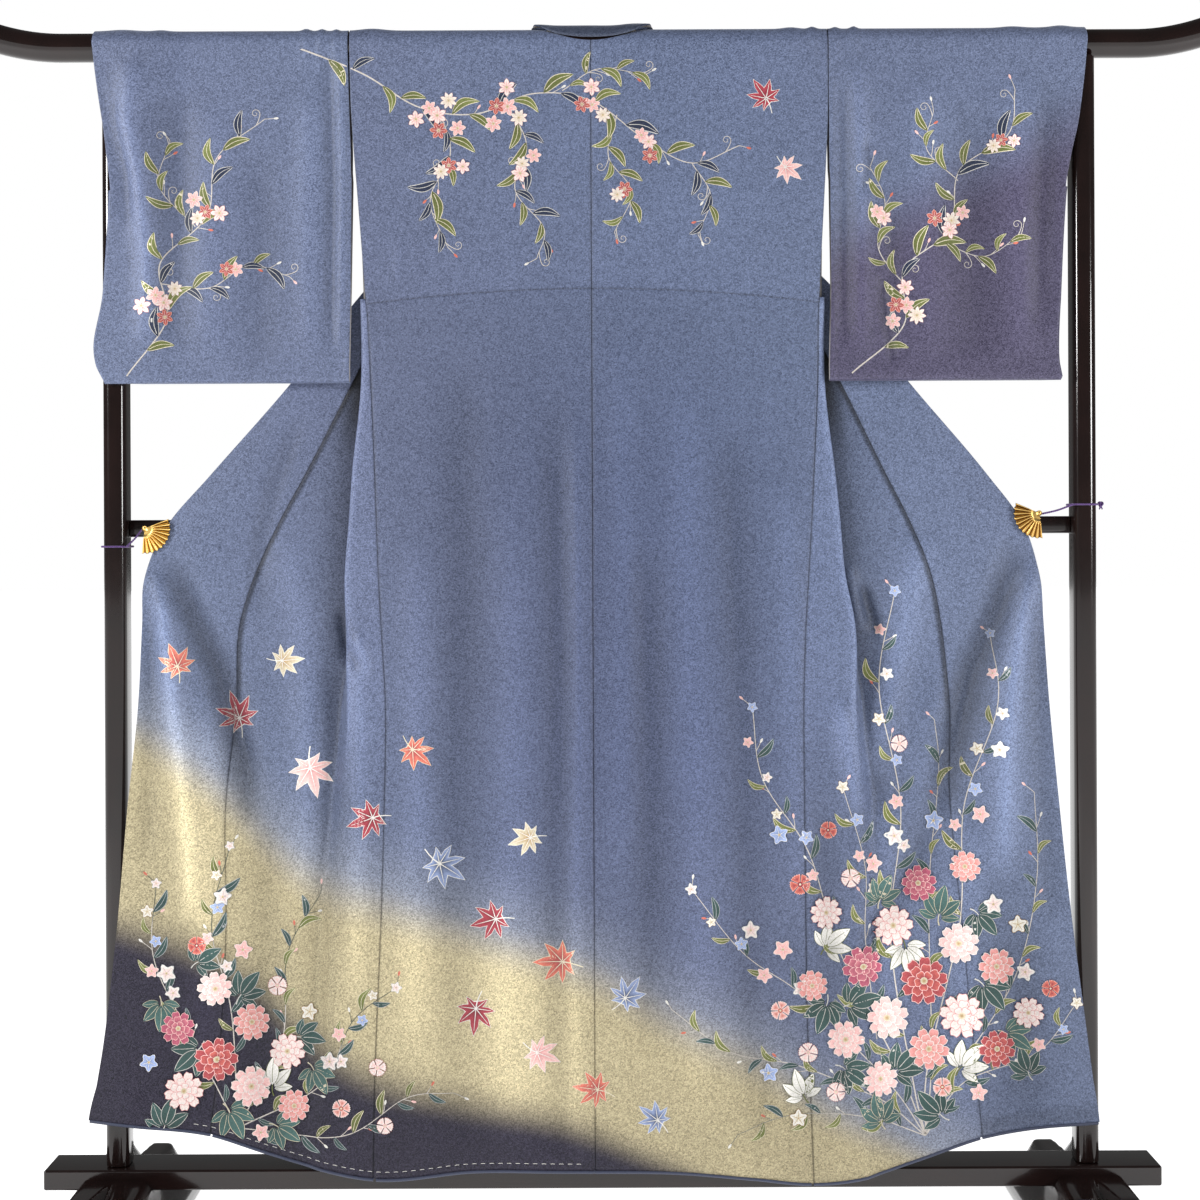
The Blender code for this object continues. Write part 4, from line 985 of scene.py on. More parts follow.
def bar_rings(half_u, half_v, corner, low, high, edge):
    """Rings (u, v, along) of a bar with a rounded-rectangle section and rounded ends: a ring
    that lies s from an end is drawn in by edge - sqrt(edge^2 - (edge - s)^2)."""
    s = edge * (1 - np.cos(np.linspace(0, math.pi / 2, 6)))
    along = np.concatenate([low + s, high - s[::-1]])
    inset = edge - np.sqrt(np.maximum(edge**2 - (edge - s) ** 2, 0))
    inset = np.concatenate([inset, inset[::-1]])
    quarter = np.linspace(0, math.pi / 2, 9)
    turn = np.concatenate([quarter + k * math.pi / 2 for k in range(4)])
    cx = np.repeat([1, -1, -1, 1], 9) * (half_u - corner)
    cy = np.repeat([1, 1, -1, -1], 9) * (half_v - corner)
    reach = np.maximum(corner - inset, 0.02)[:, None]
    shrink = np.minimum(corner - inset, 0)[:, None]
    u = cx + np.sign(cx) * shrink + reach * np.cos(turn)
    v = cy + np.sign(cy) * shrink + reach * np.sin(turn)
    return u, v, along[:, None] + 0 * u


def lacquered(node, rings, material, angle=40):
    """A lacquered solid that stands for a node of the stand."""
    piece = solid_of_rings(f"{node}_lacquered", rings, material, angle=angle)
    return hang(piece, [node])


def rod_piece(material):
    """The rod: a tube along z = height + rise * past^2 beyond its straight part, its ends
    rounded as quarter circles."""
    half = ROD_LENGTH / 2
    past_from = ROD_STRAIGHT / 2
    rising = np.linspace(past_from, half, 26)[1:]
    x = np.concatenate([-rising[::-1], np.linspace(-past_from, past_from, 40), rising])
    past = np.maximum(0, np.abs(x) - past_from) / (half - past_from)
    path = np.stack([x, 0 * x, ROD_HEIGHT + ROD_RISE * past**2], axis=-1)
    near_tip = np.clip(1 - (half - np.abs(x)), 0, 1)
    taper = np.sqrt(1 - 0.75 * near_tip**2)
    return lacquered("rod", tube(path, ROD_RADIUS, 48, taper), material)


def post_piece(side, material):
    """An oblong post with rounded corners, its head just under the rod."""
    half_deep = (POST_BACK - POST_FRONT) / 2
    head = ROD_HEIGHT - ROD_RADIUS - 0.05
    u, v, along = bar_rings(POST_WIDTH / 2, half_deep, POST_ROUND, PLANK_TOP + GAP, head, 0.25)
    middle = (POST_BACK + POST_FRONT) / 2
    rings = np.stack([sign_of(side) * POST_X + u, middle + v, along], axis=-1)
    return lacquered(f"post_{side}", rings, material)


def crossbar_piece(material):
    end = POST_X - POST_WIDTH / 2 - GAP
    u, v, along = bar_rings(BAR_SIZE / 2, BAR_SIZE / 2, 0.55, -end, end, 0.1)
    rings = np.stack([along, BAR_Y + u, BAR_HEIGHT + v], axis=-1)
    return lacquered("crossbar", rings, material)


def plank_piece(material):
    end = PLANK_LENGTH / 2
    u, v, along = bar_rings(PLANK_DEPTH / 2, PLANK_THICK / 2, 0.3, -end, end, 0.3)
    rings = np.stack([along, u, PLANK_TOP - PLANK_THICK / 2 + v], axis=-1)
    return lacquered("plank", rings, material)


FootPoint = namedtuple("FootPoint", "at half height")
FOOT_BELL = [
    FootPoint(0.0, 8.45, 0.0),
    FootPoint(0.12, 8.5, 0.5),
    FootPoint(0.30, 8.3, 1.5),
    FootPoint(0.5, 7.0, 3.3),
    FootPoint(0.68, 5.4, 5.0),
    FootPoint(0.84, 4.6, 6.3),
    FootPoint(0.93, 4.1, 6.9),
    FootPoint(1.0, 3.4, 7.0),
]


def foot_piece(side, material):
    """A foot: the bell section carried along Y, drawn in and lowered towards its toes, with a
    V groove that deepens outwards and a level seat cut down for the plank."""
    at = np.linspace(0, 1, 26)
    half = smooth(at, FOOT_BELL, "half")
    tall = smooth(at, FOOT_BELL, "height")
    top = np.linspace(1, -1, 24)[1:-1] * half[-1]
    sole = np.linspace(1, -1, 18)[1:-1] * half[0]
    profile_x = np.concatenate([-half, -top, half[::-1], sole])
    profile_z = np.concatenate([tall, 0 * top + FOOT_HEIGHT, tall[::-1], 0 * sole])
    half_long = FOOT_LENGTH / 2
    seat = PLANK_DEPTH / 2 + 0.04
    toe = 1 - np.sin(np.linspace(0, math.pi / 2, 12)[1:])
    plain = np.linspace(seat + 0.1, half_long - FOOT_TOE, 16)
    rear = np.concatenate([[seat, seat + 0.01], plain, half_long - FOOT_TOE * toe])
    along = np.concatenate([-rear[::-1], rear])[:, None]
    near_end = np.clip((np.abs(along) - (half_long - FOOT_DRAW)) / FOOT_DRAW, 0, 1)
    drawn = 1 - np.sqrt(np.maximum(1 - near_end**2, 0))
    x = profile_x[None, :] * (1 - 0.28 * drawn)
    z = profile_z[None, :] * (1 - 0.30 * drawn)
    groove = np.clip((np.abs(along) - 6) / 13, 0, 1)
    carve = 2.4 * groove**0.8 * np.maximum(0, 1 - np.abs(x) / (0.5 + 1.3 * groove))
    z = np.where(profile_z[None, :] > 4, z - carve, z)
    seated = np.abs(along) < seat + 0.005
    z = np.where(seated, np.minimum(z, PLANK_TOP - PLANK_THICK - 0.04), z)
    rings = np.stack([sign_of(side) * POST_X + x, along + 0 * x, z], axis=-1)
    return lacquered(f"foot_{side}", rings, material, angle=50)


# The clips


def fan_piece(side, material):
    """The fan: a polar sheet round its pivot. Past the smooth hub its depth waves as
    0.13 * cos(ribs * angle), the rim is scalloped, and the grooves are tarnished."""
    clip = CLIPS[side]
    hub = np.linspace(0.34, FAN_HUB - 0.05, 6)
    r = np.concatenate([hub, np.linspace(FAN_HUB, FAN_RADIUS, 16)])[:, None]
    t = np.linspace(0, 1, 20 * FAN_RIBS + 1)[None, :]
    wave = np.cos(2 * math.pi * FAN_RIBS * t)
    fluted = ease((r - FAN_HUB) / 0.35)
    scallop = 1 - 0.045 * (1 - wave) / 2 * ease((r - 2.6) / 0.9)
    angle = np.radians(clip.start + (clip.end - clip.start) * t)
    hub_rim = -0.10 * bell(r - FAN_HUB, 0.12)
    depth = clip.depth - FAN_DOME * (1 - (r / FAN_RADIUS) ** 2) - 0.13 * wave * fluted + hub_rim
    out = r * scallop
    x, z = clip.x + out * np.cos(angle), clip.height + out * np.sin(angle)
    points = np.stack([x, depth, z], axis=-1)
    groove = (1 - wave) / 2 * fluted
    colours = between(GILT[side], TARNISH, np.clip(groove**2 * 0.9, 0, 1))
    fan = make_object(f"fan_{side}_gilt", points, quads(len(r), t.shape[1]), [material], colours)
    face_forward(fan)
    wall(fan, 0.12, lined=False)
    return hang(fan, [f"fan_{side}"])


def turned(profile, count=32):
    """A turned solid's rings from a profile of (radius, along) points."""
    turn = np.linspace(0, 2 * math.pi, count, endpoint=False)[None, :]
    profile = np.asarray(profile, float)
    return profile[:, 0:1] * np.cos(turn), profile[:, 0:1] * np.sin(turn), profile[:, 1:2] + 0 * turn


def barrel_piece(side, material):
    """The pivot pin: a short turned barrel with a ringed, domed head."""
    clip = CLIPS[side]
    face = clip.depth - FAN_DOME - 0.05
    pin = [(0.30, JAW_DEPTH - 0.02), (BARREL_RADIUS, JAW_DEPTH - 0.1), (BARREL_RADIUS, face + 0.12)]
    ring = [(0.36, face + 0.08), (0.38, face), (0.34, face - 0.06)]
    dome = [(0.24, face - 0.03), (0.2, face - 0.07), (0.1, face - 0.12)]
    u, v, along = turned(pin + ring + dome)
    rings = np.stack([clip.x + u, along, clip.height + v], axis=-1)
    colours = np.tile(GILT[side], (*rings.shape[:2], 1))
    barrel = solid_of_rings(f"barrel_{side}_gilt", rings, material, colours)
    return hang(barrel, [f"barrel_{side}"])


def jaw_piece(side, material):
    """The back jaw: a plain bent sector, thin at its rim."""
    clip = CLIPS[side]
    r = np.linspace(0.34, FAN_RADIUS * 0.8, 14)[:, None]
    t = np.linspace(0.12, 0.88, 30)[None, :]
    angle = np.radians(clip.start + (clip.end - clip.start) * t)
    depth = JAW_DEPTH + 0.04 * np.sin(math.pi * r / FAN_RADIUS)
    x, z = clip.x + r * np.cos(angle), clip.height + r * np.sin(angle)
    points = np.stack([x, depth + 0 * angle, z], axis=-1)
    rows, columns = points.shape[:2]
    colours = np.tile(GILT_JAW[side], (rows, columns, 1))
    jaw = make_object(f"jaw_{side}_gilt", points, quads(rows, columns), [material], colours)
    face_forward(jaw)
    wall(jaw, 0.1, lined=False)
    return hang(jaw, [f"jaw_{side}"])


def along_path(path, step, closed=False):
    """Points at even steps along a smooth curve through the path's points (Catmull-Rom)."""
    path = np.asarray(path, float)
    if closed:
        path = np.vstack([path[-1], path, path[:2]])
    else:
        path = np.vstack([2 * path[0] - path[1], path, 2 * path[-1] - path[-2]])
    t = np.linspace(0, 1, 24, endpoint=False)[:, None]
    pieces = []
    for a, b, c, d in zip(path, path[1:], path[2:], path[3:]):
        bend, twist = 2 * a - 5 * b + 4 * c - d, 3 * b - a - 3 * c + d
        pieces.append(0.5 * (2 * b + (c - a) * t + bend * t**2 + twist * t**3))
    fine = np.vstack(pieces + [path[-2:-1]])
    run = np.concatenate([[0], np.cumsum(np.linalg.norm(np.diff(fine, axis=0), axis=1))])
    count = max(4, int(run[-1] / step))
    at = np.linspace(0, run[-1], count, endpoint=not closed)
    return np.stack([np.interp(at, run, fine[:, k]) for k in range(fine.shape[1])], axis=-1)


def twisted_cord(name, path, radius, material, nodes, closed=False, pitch=0.55):
    """Two strands laid round each other: each is a tube whose middle turns round the path."""
    line = along_path(path, 0.07, closed)
    run = np.arange(len(line)) * 0.07
    turns = 2 * math.pi * (round(run[-1] / pitch) / run[-1] if closed else 1 / pitch)
    rings = tube(line, 1.0, 4)
    across = rings[:, 0] - line
    lift = rings[:, 1] - line
    strands = []
    for phase in (0.0, math.pi):
        swing = (run * turns + phase)[:, None]
        strand = line + (np.cos(swing) * across + np.sin(swing) * lift) * radius * 0.46
        shell = tube(strand, radius * 0.56, 8)
        strands.append((shell if closed else capped(shell), closed))
    cord = make_object(name, *joined_rings(strands), [material])
    close_up(cord)
    return hang(cord, nodes)


def tie_path(side):
    """The loop round the post: a rounded rectangle just clear of it."""
    clip = CLIPS[side]
    reach = POST_WIDTH / 2 + TIE_RADIUS + GAP
    front = POST_FRONT - TIE_RADIUS - GAP
    back = POST_BACK + TIE_RADIUS + GAP
    corner = 0.9
    turn = np.linspace(0, math.pi / 2, 5)
    right = reach - corner + corner * np.sin(turn)
    x = np.concatenate([right, -right[::-1]])
    rounded = front + corner - corner * np.cos(turn)
    y_front = np.concatenate([rounded, rounded[::-1]])
    y_back = back + front - y_front
    flat = np.concatenate([np.stack([x, y_front], axis=-1), np.stack([-x, y_back], axis=-1)])
    flat = flat[np.argsort(np.arctan2(flat[:, 1] - (front + back) / 2, flat[:, 0]))]
    height = np.full(len(flat), clip.tie_height)
    return np.column_stack([sign_of(side) * POST_X + flat[:, 0], flat[:, 1], height])


def link_path(side):
    """The short stretch from the loop to the clip's pin."""
    clip = CLIPS[side]
    sign = sign_of(side)
    near = (sign * (POST_X - POST_WIDTH / 2 - 0.2), -3.42, clip.tie_height)
    far = (clip.x + sign * 0.42, -3.4, clip.height - 0.1)
    return [near, ((near[0] + far[0]) / 2, -3.45, (near[2] + far[2]) / 2 - 0.15), far]


def knot_piece(material):
    """The knot beside the right post: a trefoil, x = sin t + 2 sin 2t and so on, drawn tight,
    with its two ends hanging."""
    x0 = POST_X + POST_WIDTH / 2 + 2 * TIE_RADIUS + 0.55
    z0 = CLIPS["right"].tie_height
    t = np.linspace(0, 2 * math.pi, 90, endpoint=False)
    size = 0.13
    trefoil = np.stack(
        [
            x0 + size * (np.sin(t) + 2 * np.sin(2 * t)) * 0.8,
            KNOT_Y - size * np.sin(3 * t) * 1.3,
            z0 + size * (np.cos(t) - 2 * np.cos(2 * t)) * 1.1,
        ],
        axis=-1,
    )
    parts = [(tube(trefoil, TIE_RADIUS * 0.9, 10), True)]
    for lean in (-0.12, 0.16):
        bend = (x0 + lean, KNOT_Y - 0.05, z0 - 0.5)
        end = along_path([(x0, KNOT_Y, z0 - 0.2), bend, (x0 + lean * 1.4, KNOT_Y, z0 - 0.68)], 0.05)
        parts.append((capped(tube(end, TIE_RADIUS * 0.6, 8)), False))
    knot = make_object("knot_cord", *joined_rings(parts), [material])
    close_up(knot)
    return hang(knot, ["knot"])


# Materials


def new_material(name):
    """A material, its node tree and its Principled node."""
    material = bpy.data.materials.new(name)
    material.use_nodes = True
    tree = material.node_tree
    return material, tree, tree.nodes["Principled BSDF"]


def group_with(name, inputs, outputs):
    """A node group with named sockets: (name, kind, default) going in, (name, kind) coming out;
    and its two end nodes."""
    group = bpy.data.node_groups.new(name, "ShaderNodeTree")
    for label, kind, default in inputs:
        socket = group.interface.new_socket(label, in_out="INPUT", socket_type=kind)
        socket.default_value = default
    for label, kind in outputs:
        group.interface.new_socket(label, in_out="OUTPUT", socket_type=kind)
    return group, group.nodes.new("NodeGroupInput"), group.nodes.new("NodeGroupOutput")


def put(node, values):
    """Set a node's inputs by name."""
    for name, value in values.items():
        node.inputs[name].default_value = value


def math_node(tree, kind, first, second):
    """The result of one operation on two values, each a socket or a number."""
    node = tree.nodes.new("ShaderNodeMath")
    node.operation = kind
    for k, value in enumerate((first, second)):
        if hasattr(value, "links"):
            tree.links.new(value, node.inputs[k])
        else:
            node.inputs[k].default_value = value
    return node.outputs[0]


def times_plus(tree, value, factor, offset):
    return math_node(tree, "ADD", math_node(tree, "MULTIPLY", value, factor), offset)


def vector_node(tree, kind, first):
    """A vector operation whose first value is linked."""
    node = tree.nodes.new("ShaderNodeVectorMath")
    node.operation = kind
    tree.links.new(first, node.inputs[0])
    return node


def object_place(tree):
    return tree.nodes.new("ShaderNodeTexCoord").outputs["Object"]


def dye_colour(tree):
    """The colour stored at each point of the mesh."""
    dye = tree.nodes.new("ShaderNodeAttribute")
    dye.attribute_name = "dye"
    return dye.outputs["Color"]


def noise(tree, vector, scale, detail=2.0, rough=0.5):
    node = tree.nodes.new("ShaderNodeTexNoise")
    put(node, {"Scale": scale, "Detail": detail, "Roughness": rough})
    tree.links.new(vector, node.inputs["Vector"])
    return node.outputs["Fac"]


def mixed(tree, share, first, second):
    """A colour between two, by a share."""
    node = tree.nodes.new("ShaderNodeMix")
    node.data_type = "RGBA"
    node.inputs["A"].default_value = (*first, 1)
    node.inputs["B"].default_value = (*second, 1)
    tree.links.new(share, node.inputs["Factor"])
    return node.outputs["Result"]


def raise_surface(tree, surface, height, strength, distance):
    """Tilt a surface's normals as a height would."""
    raised = tree.nodes.new("ShaderNodeBump")
    put(raised, {"Strength": strength, "Distance": distance})
    tree.links.new(height, raised.inputs["Height"])
    tree.links.new(raised.outputs["Normal"], surface.inputs["Normal"])


def crepe_group():
    """The crepe's grain: cells of random tone among fine pebbles, with slow unevenness of the
    dye. Speckle scales the colour and adds a little grey, Height raises the pebbles. The
    pattern is turned out of the cloth's plane, so that no layer of it lies along the cloth."""
    tree, given, out = group_with(
        "crepe_grain",
        [("Color", "NodeSocketColor", (0.5, 0.5, 0.5, 1)), ("Speckle", "NodeSocketFloat", 0.3)],
        [("Color", "NodeSocketColor"), ("Height", "NodeSocketFloat"), ("Roughness", "NodeSocketFloat")],
    )
    place = object_place(tree)
    askew = tree.nodes.new("ShaderNodeMapping")
    put(askew, {"Rotation": (0.60, 0.45, 0.80)})
    tree.links.new(place, askew.inputs["Vector"])
    pebbles = noise(tree, askew.outputs[0], 700.0, 1.0)
    cells = tree.nodes.new("ShaderNodeTexVoronoi")
    put(cells, {"Scale": 620.0})
    tree.links.new(askew.outputs[0], cells.inputs["Vector"])
    slow = noise(tree, place, 9.0, 3.0)
    tones = math_node(tree, "MULTIPLY", cells.outputs["Color"], 0.6)
    grain = math_node(tree, "ADD", math_node(tree, "MULTIPLY", pebbles, 0.4), tones)
    swing = math_node(tree, "SUBTRACT", grain, 0.5)
    swing = math_node(tree, "MULTIPLY", swing, given.outputs["Speckle"])
    uneven = math_node(tree, "MULTIPLY", math_node(tree, "SUBTRACT", slow, 0.5), 0.22)
    level = math_node(tree, "ADD", math_node(tree, "ADD", swing, uneven), 1.0)
    scaled = vector_node(tree, "SCALE", given.outputs["Color"])
    tree.links.new(level, scaled.inputs["Scale"])
    specked = vector_node(tree, "ADD", scaled.outputs[0])
    tree.links.new(math_node(tree, "MULTIPLY", swing, 0.028), specked.inputs[1])
    floor = vector_node(tree, "MAXIMUM", specked.outputs[0])
    floor.inputs[1].default_value = (0.003, 0.003, 0.003)
    tree.links.new(floor.outputs[0], out.inputs["Color"])
    tree.links.new(pebbles, out.inputs["Height"])
    tree.links.new(times_plus(tree, grain, 0.22, 0.40), out.inputs["Roughness"])
    return tree


def crepe_material(name, grain, speckle, bump, sheen, tint, colour=None):
    """Crepe silk: its colour comes from the dye attribute, which holds dye times painted light and shade, or
    is one plain colour.
    """
    material, tree, surface = new_material(name)
    cloth = tree.nodes.new("ShaderNodeGroup")
    cloth.node_tree = grain
    put(cloth, {"Speckle": speckle})
    if colour is None:
        tree.links.new(dye_colour(tree), cloth.inputs["Color"])
    else:
        put(cloth, {"Color": (*colour, 1)})
    tree.links.new(cloth.outputs["Color"], surface.inputs["Base Color"])
    tree.links.new(cloth.outputs["Roughness"], surface.inputs["Roughness"])
    raise_surface(tree, surface, cloth.outputs["Height"], bump, 0.0006)
    put(surface, {"Sheen Weight": sheen, "Sheen Roughness": 0.35, "Sheen Tint": (*tint, 1)})
    put(surface, {"Specular IOR Level": 0.38})
    return material


def lacquer_material():
    """Black lacquer: near-black brown under a clear hard gloss, with a faint waviness, fine
    dust-dulled patches in the roughness and the brown showing through where it is thin."""
    material, tree, surface = new_material("black_lacquer_gloss")
    place = object_place(tree)
    patches = noise(tree, place, 14.0, 4.0, 0.6)
    wave = noise(tree, place, 55.0, 1.0)
    tone = mixed(tree, patches, (0.0035, 0.0028, 0.0028), (0.016, 0.007, 0.006))
    tree.links.new(tone, surface.inputs["Base Color"])
    tree.links.new(times_plus(tree, patches, 0.10, 0.10), surface.inputs["Roughness"])
    raise_surface(tree, surface, wave, 0.015, 0.0008)
    put(surface, {"Coat Weight": 0.35, "Coat Roughness": 0.06, "Specular IOR Level": 0.35})
    return material


def gilt_material():
    """Gilt: metal whose tone is the dye attribute's, brushed finely and worn unevenly."""
    material, tree, surface = new_material("gilt_satin")
    tree.links.new(dye_colour(tree), surface.inputs["Base Color"])
    put(surface, {"Metallic": 1.0})
    worn = noise(tree, object_place(tree), 320.0, 3.0, 0.6)
    tree.links.new(times_plus(tree, worn, 0.25, 0.18), surface.inputs["Roughness"])
    raise_surface(tree, surface, worn, 0.25, 0.0004)
    return material


def cord_material():
    """Twisted silk cord: deep purple, with fine threads as bump and a soft sheen."""
    material, tree, surface = new_material("purple_cord_silk")
    threads = noise(tree, object_place(tree), 2200.0, 2.0)
    tone = mixed(tree, threads, (0.030, 0.006, 0.075), (0.120, 0.035, 0.240))
    tree.links.new(tone, surface.inputs["Base Color"])
    raise_surface(tree, surface, threads, 0.5, 0.0003)
    put(surface, {"Roughness": 0.5, "Sheen Weight": 0.4})
    return material


def stage_material():
    material, _, surface = new_material("studio_floor")
    put(surface, {"Base Color": (0.88, 0.88, 0.88, 1), "Roughness": 0.9, "Specular IOR Level": 0.1})
    put(surface, {"Emission Color": (1, 1, 1, 1), "Emission Strength": 0.95})
    return material


# Camera, light and floor

CAMERA_DISTANCE = 3.43
CAMERA_HEIGHT = 0.959
LENS = 73.4
FRAME_DROP = -0.054
CAMERA_ROLL = -0.25
AMBIENT = 0.25
REFLECTED = 0.10


def set_stage():
    data = bpy.data.cameras.new("camera")
    data.lens = LENS
    data.sensor_width = 36.0
    data.shift_y = FRAME_DROP
    camera = bpy.data.objects.new("camera", data)
    level = Matrix.Rotation(math.pi / 2, 3, "X") @ Matrix.Rotation(math.radians(CAMERA_ROLL), 3, "Z")
    camera.rotation_euler = level.to_euler()
    camera.location = (0.0, -CAMERA_DISTANCE, CAMERA_HEIGHT)
    bpy.context.scene.collection.objects.link(camera)
    bpy.context.scene.camera = camera
    mesh = bpy.data.meshes.new("floor")
    far = 40.0
    mesh.from_pydata([(-far, -far, 0), (far, -far, 0), (far, far, 0), (-far, far, 0)], [], [(0, 1, 2, 3)])
    mesh.materials.append(stage_material())
    floor = bpy.data.objects.new("floor", mesh)
    bpy.context.scene.collection.objects.link(floor)
    world = bpy.data.worlds.new("studio")
    world.use_nodes = True
    tree = world.node_tree
    ray = tree.nodes.new("ShaderNodeLightPath")
    matte = math_node(tree, "MULTIPLY", ray.outputs["Is Diffuse Ray"], AMBIENT - REFLECTED)
    seen = math_node(tree, "MULTIPLY", ray.outputs["Is Camera Ray"], 1.0 - REFLECTED)
    level = math_node(tree, "ADD", math_node(tree, "ADD", matte, seen), REFLECTED)
    tree.links.new(level, tree.nodes["Background"].inputs["Strength"])
    put(tree.nodes["Background"], {"Color": (1.0, 1.0, 1.0, 1)})
    bpy.context.scene.world = world
    bpy.context.scene.view_settings.view_transform = "Standard"
    soft_light("key", (-2.7, -1.9, 2.0), (0.0, 0.0, 0.95), 0.8, 76)
    soft_light("fill", (2.7, -1.8, 1.4), (0.0, 0.0, 0.8), 0.8, 46)


def soft_light(name, place, target, size, power):
    data = bpy.data.lights.new(name, "AREA")
    data.shape = "DISK"
    data.size = size
    data.energy = power
    light = bpy.data.objects.new(name, data)
    light.location = place
    light.rotation_euler = (Vector(target) - Vector(place)).to_track_quat("-Z", "Y").to_euler()
    bpy.context.scene.collection.objects.link(light)


# Making the garment

grain = crepe_group()
silk = crepe_material("dyed_crepe", grain, 1.5, 0.8, 0.30, (0.75, 0.82, 1.0))
lining = crepe_material("lining_silk", grain, 0.1, 0.2, 0.10, (1, 1, 1), LINING)
# the hem's rolled facing: the cloth's deep slate at half strength, darkened as painted shade under the hem
# edge
facing = crepe_material("hem_facing_silk", grain, 0.3, 0.4, 0.25, (0.8, 0.85, 1.0), DEEP_SLATE * 0.5)
cloth_faces = [silk, lining]
FRONT_FACES = []


def cloth_piece(
    node, points, kind, thickness=SHELL, keep=None, dye=body_dye_and_shade, dark=None, turn=face_forward
):
    """A finished sheet that stands for a node: its mesh, its dye times the painted light and shade given as
    dark, its wall and its cut.
    """
    rows, columns = points.shape[:2]
    colours = dye(points[..., 0], points[..., 2])
    # dark is painted light and shade, multiplied into the dye
    if dark is not None:
        colours = colours * dark[..., None]
    piece = make_object(f"{node}_silk", points, quads(rows, columns, keep), cloth_faces, colours)
    turn(piece)
    wall(piece, thickness)
    hang(piece, [node])
    return piece


def back_shade(back):
    """Light and shade on a back: the tuck's stitches and the shadow below them, the folds, the
    middle seam, and the side seam, which shows less above its top."""
    x, z = back[..., 0], back[..., 2]
    below = TUCK_HEIGHT - tuck_drop(x) - z
    stitches = 0.32 + 0.30 * (np.arange(back.shape[1]) % 2)
    tuck = 1 - stitches * bell(below, 0.10) - 0.07 * ease(below / 0.2) * ease((z - 60) / 50)
    side_seam = seam_shade(np.abs(x - x[:, -1:]), 0.65 * (1 - 0.6 * (z > SIDE_SEAM_TOP)))
    return tuck * fold_shade(x, z) * seam_shade(np.abs(x - BACK_SEAM_X)) * side_seam


def front_shade(front):
    """Light and shade that the pleat and the okumi seam lay on a front: the strip pales at its
    fold, the run that comes out from behind it is in shade and clears outwards, and the
    seam's allowance shows as a dark band in the upper half."""
    out, z = np.abs(front[..., 0]), front[..., 2]
    column = np.arange(front.shape[1])
    fold = out[:, TURN_IN : TURN_IN + 1]
    past = out - fold
    behind = (column >= TURN_OUT) * bell(past, 4.2) * (0.30 + 0.70 * ease((z - 48) / 30))
    hollow = (column >= TURN_OUT) * bell(past, 2.4) * ease((z - 104) / 12)
    strip = (column <= TURN_IN) * ease((z - 60) / 14)
    pale = 0.42 * bell(past, 0.7) + 0.16
    allowance = (column >= TURN_OUT) * np.exp(-(((out - out[:, -1:]) / 0.72) ** 6))
    allowed = 1 - (0.08 + 0.60 * ease((z - 64) / 14)) * allowance
    shade = (1 - 0.40 * behind) * (1 - 0.85 * hollow) * (1 + pale * strip) * allowed
    side_seam = seam_shade(out - out[:, :1], 0.6 * (column < SEAM_COLUMNS))
    okumi_seam = seam_shade(out - out[:, -1:], 0.6 * (column > TURN_OUT))
    return shade * side_seam * okumi_seam * fold_shade(front[..., 0], z)


def okumi_shade(okumi, side):
    """Light and shade on an okumi: its folds and its seam. The right one's lower part is a
    little darker, with a darker band above its hem."""
    x, z = okumi[..., 0], okumi[..., 2]
    shade = fold_shade(x, z) * seam_shade(np.abs(x - x[:, :1]), 0.6)
    if side == "right":
        hem_band = np.exp(-(((z - z[-1:] - 1.3) / 1.1) ** 4))
        shade = shade * (1 - 0.12 * ease((62 - z) / 30)) * (1 - 0.22 * hem_band)
    return shade


def hem_roll_piece(panel, side, edge):
    """The rolled edge of the facing: a tube under the panel's own hem points."""
    path = along_path(edge[::3] - [0, 0, HEM_ROLL_RADIUS * 0.6], 0.5)
    roll = solid_of_rings(f"hem_roll_{panel}_{side}_silk", tube(path, HEM_ROLL_RADIUS, 12), facing, angle=80)
    return hang(roll, [f"hem_roll_{panel}_{side}"])


for side in SIDES:
    back = back_points(side)
    cloth_piece(f"back_{side}", back, "back", dark=back_shade(back))
    front, keep = front_points(side)
    cloth_piece(f"front_{side}", front, "front", keep=keep, dark=front_shade(front))
    okumi = okumi_points(side)
    cloth_piece(f"okumi_{side}", okumi, "okumi", dark=okumi_shade(okumi, side))
    cloth_piece(f"collar_{side}", side_collar_points(side), "collar", COLLAR_SHELL, dye=plain_dye)
    dye = plain_dye if side == "left" else right_sleeve_dye
    sleeve, sleeve_front = sleeve_piece(side, cloth_faces, dye)
    for panel, points in (("back", back), ("front", front), ("okumi", okumi)):
        hem_roll_piece(panel, side, points[-1])
    low = front[front[:, 0, 2] < SIDE_SEAM_TOP]
    FRONT_FACES += [back, okumi, sleeve_front, front[:, TURN_OUT:]]
    FRONT_FACES += [low[:, : TURN_IN + 1], low[:, TURN_IN : TURN_OUT + 1]]
collar = neck_collar_points()
shade = np.full(collar.shape[:2], NECK_SHADE)
neck = dict(dye=plain_dye, dark=shade, turn=face_from_rod)
cloth_piece("collar_neck", collar, "collar_neck", COLLAR_SHELL, **neck)

# Drawn flowers and leaves

Stamp = namedtuple("Stamp", "points layers colours triangles")


def joined(stamps):
    """One stamp from several, with their corner numbers shifted on."""
    stamps = [stamp for stamp in stamps if len(stamp.triangles)]
    base = np.cumsum([0] + [len(stamp.points) for stamp in stamps[:-1]])
    return Stamp(
        np.concatenate([stamp.points for stamp in stamps]),
        np.concatenate([stamp.layers for stamp in stamps]),
        np.concatenate([stamp.colours for stamp in stamps]),
        np.concatenate([stamp.triangles + shift for stamp, shift in zip(stamps, base)]),
    )


def moved(stamp, x, z, size=1.0, turn=0.0, up=0):
    """A stamp turned by an angle in degrees, scaled, and carried to a place and a layer."""
    c, s = math.cos(math.radians(turn)), math.sin(math.radians(turn))
    points = stamp.points @ np.array([[c, s], [-s, c]]) * size + [x, z]
    return stamp._replace(points=points, layers=stamp.layers + up)


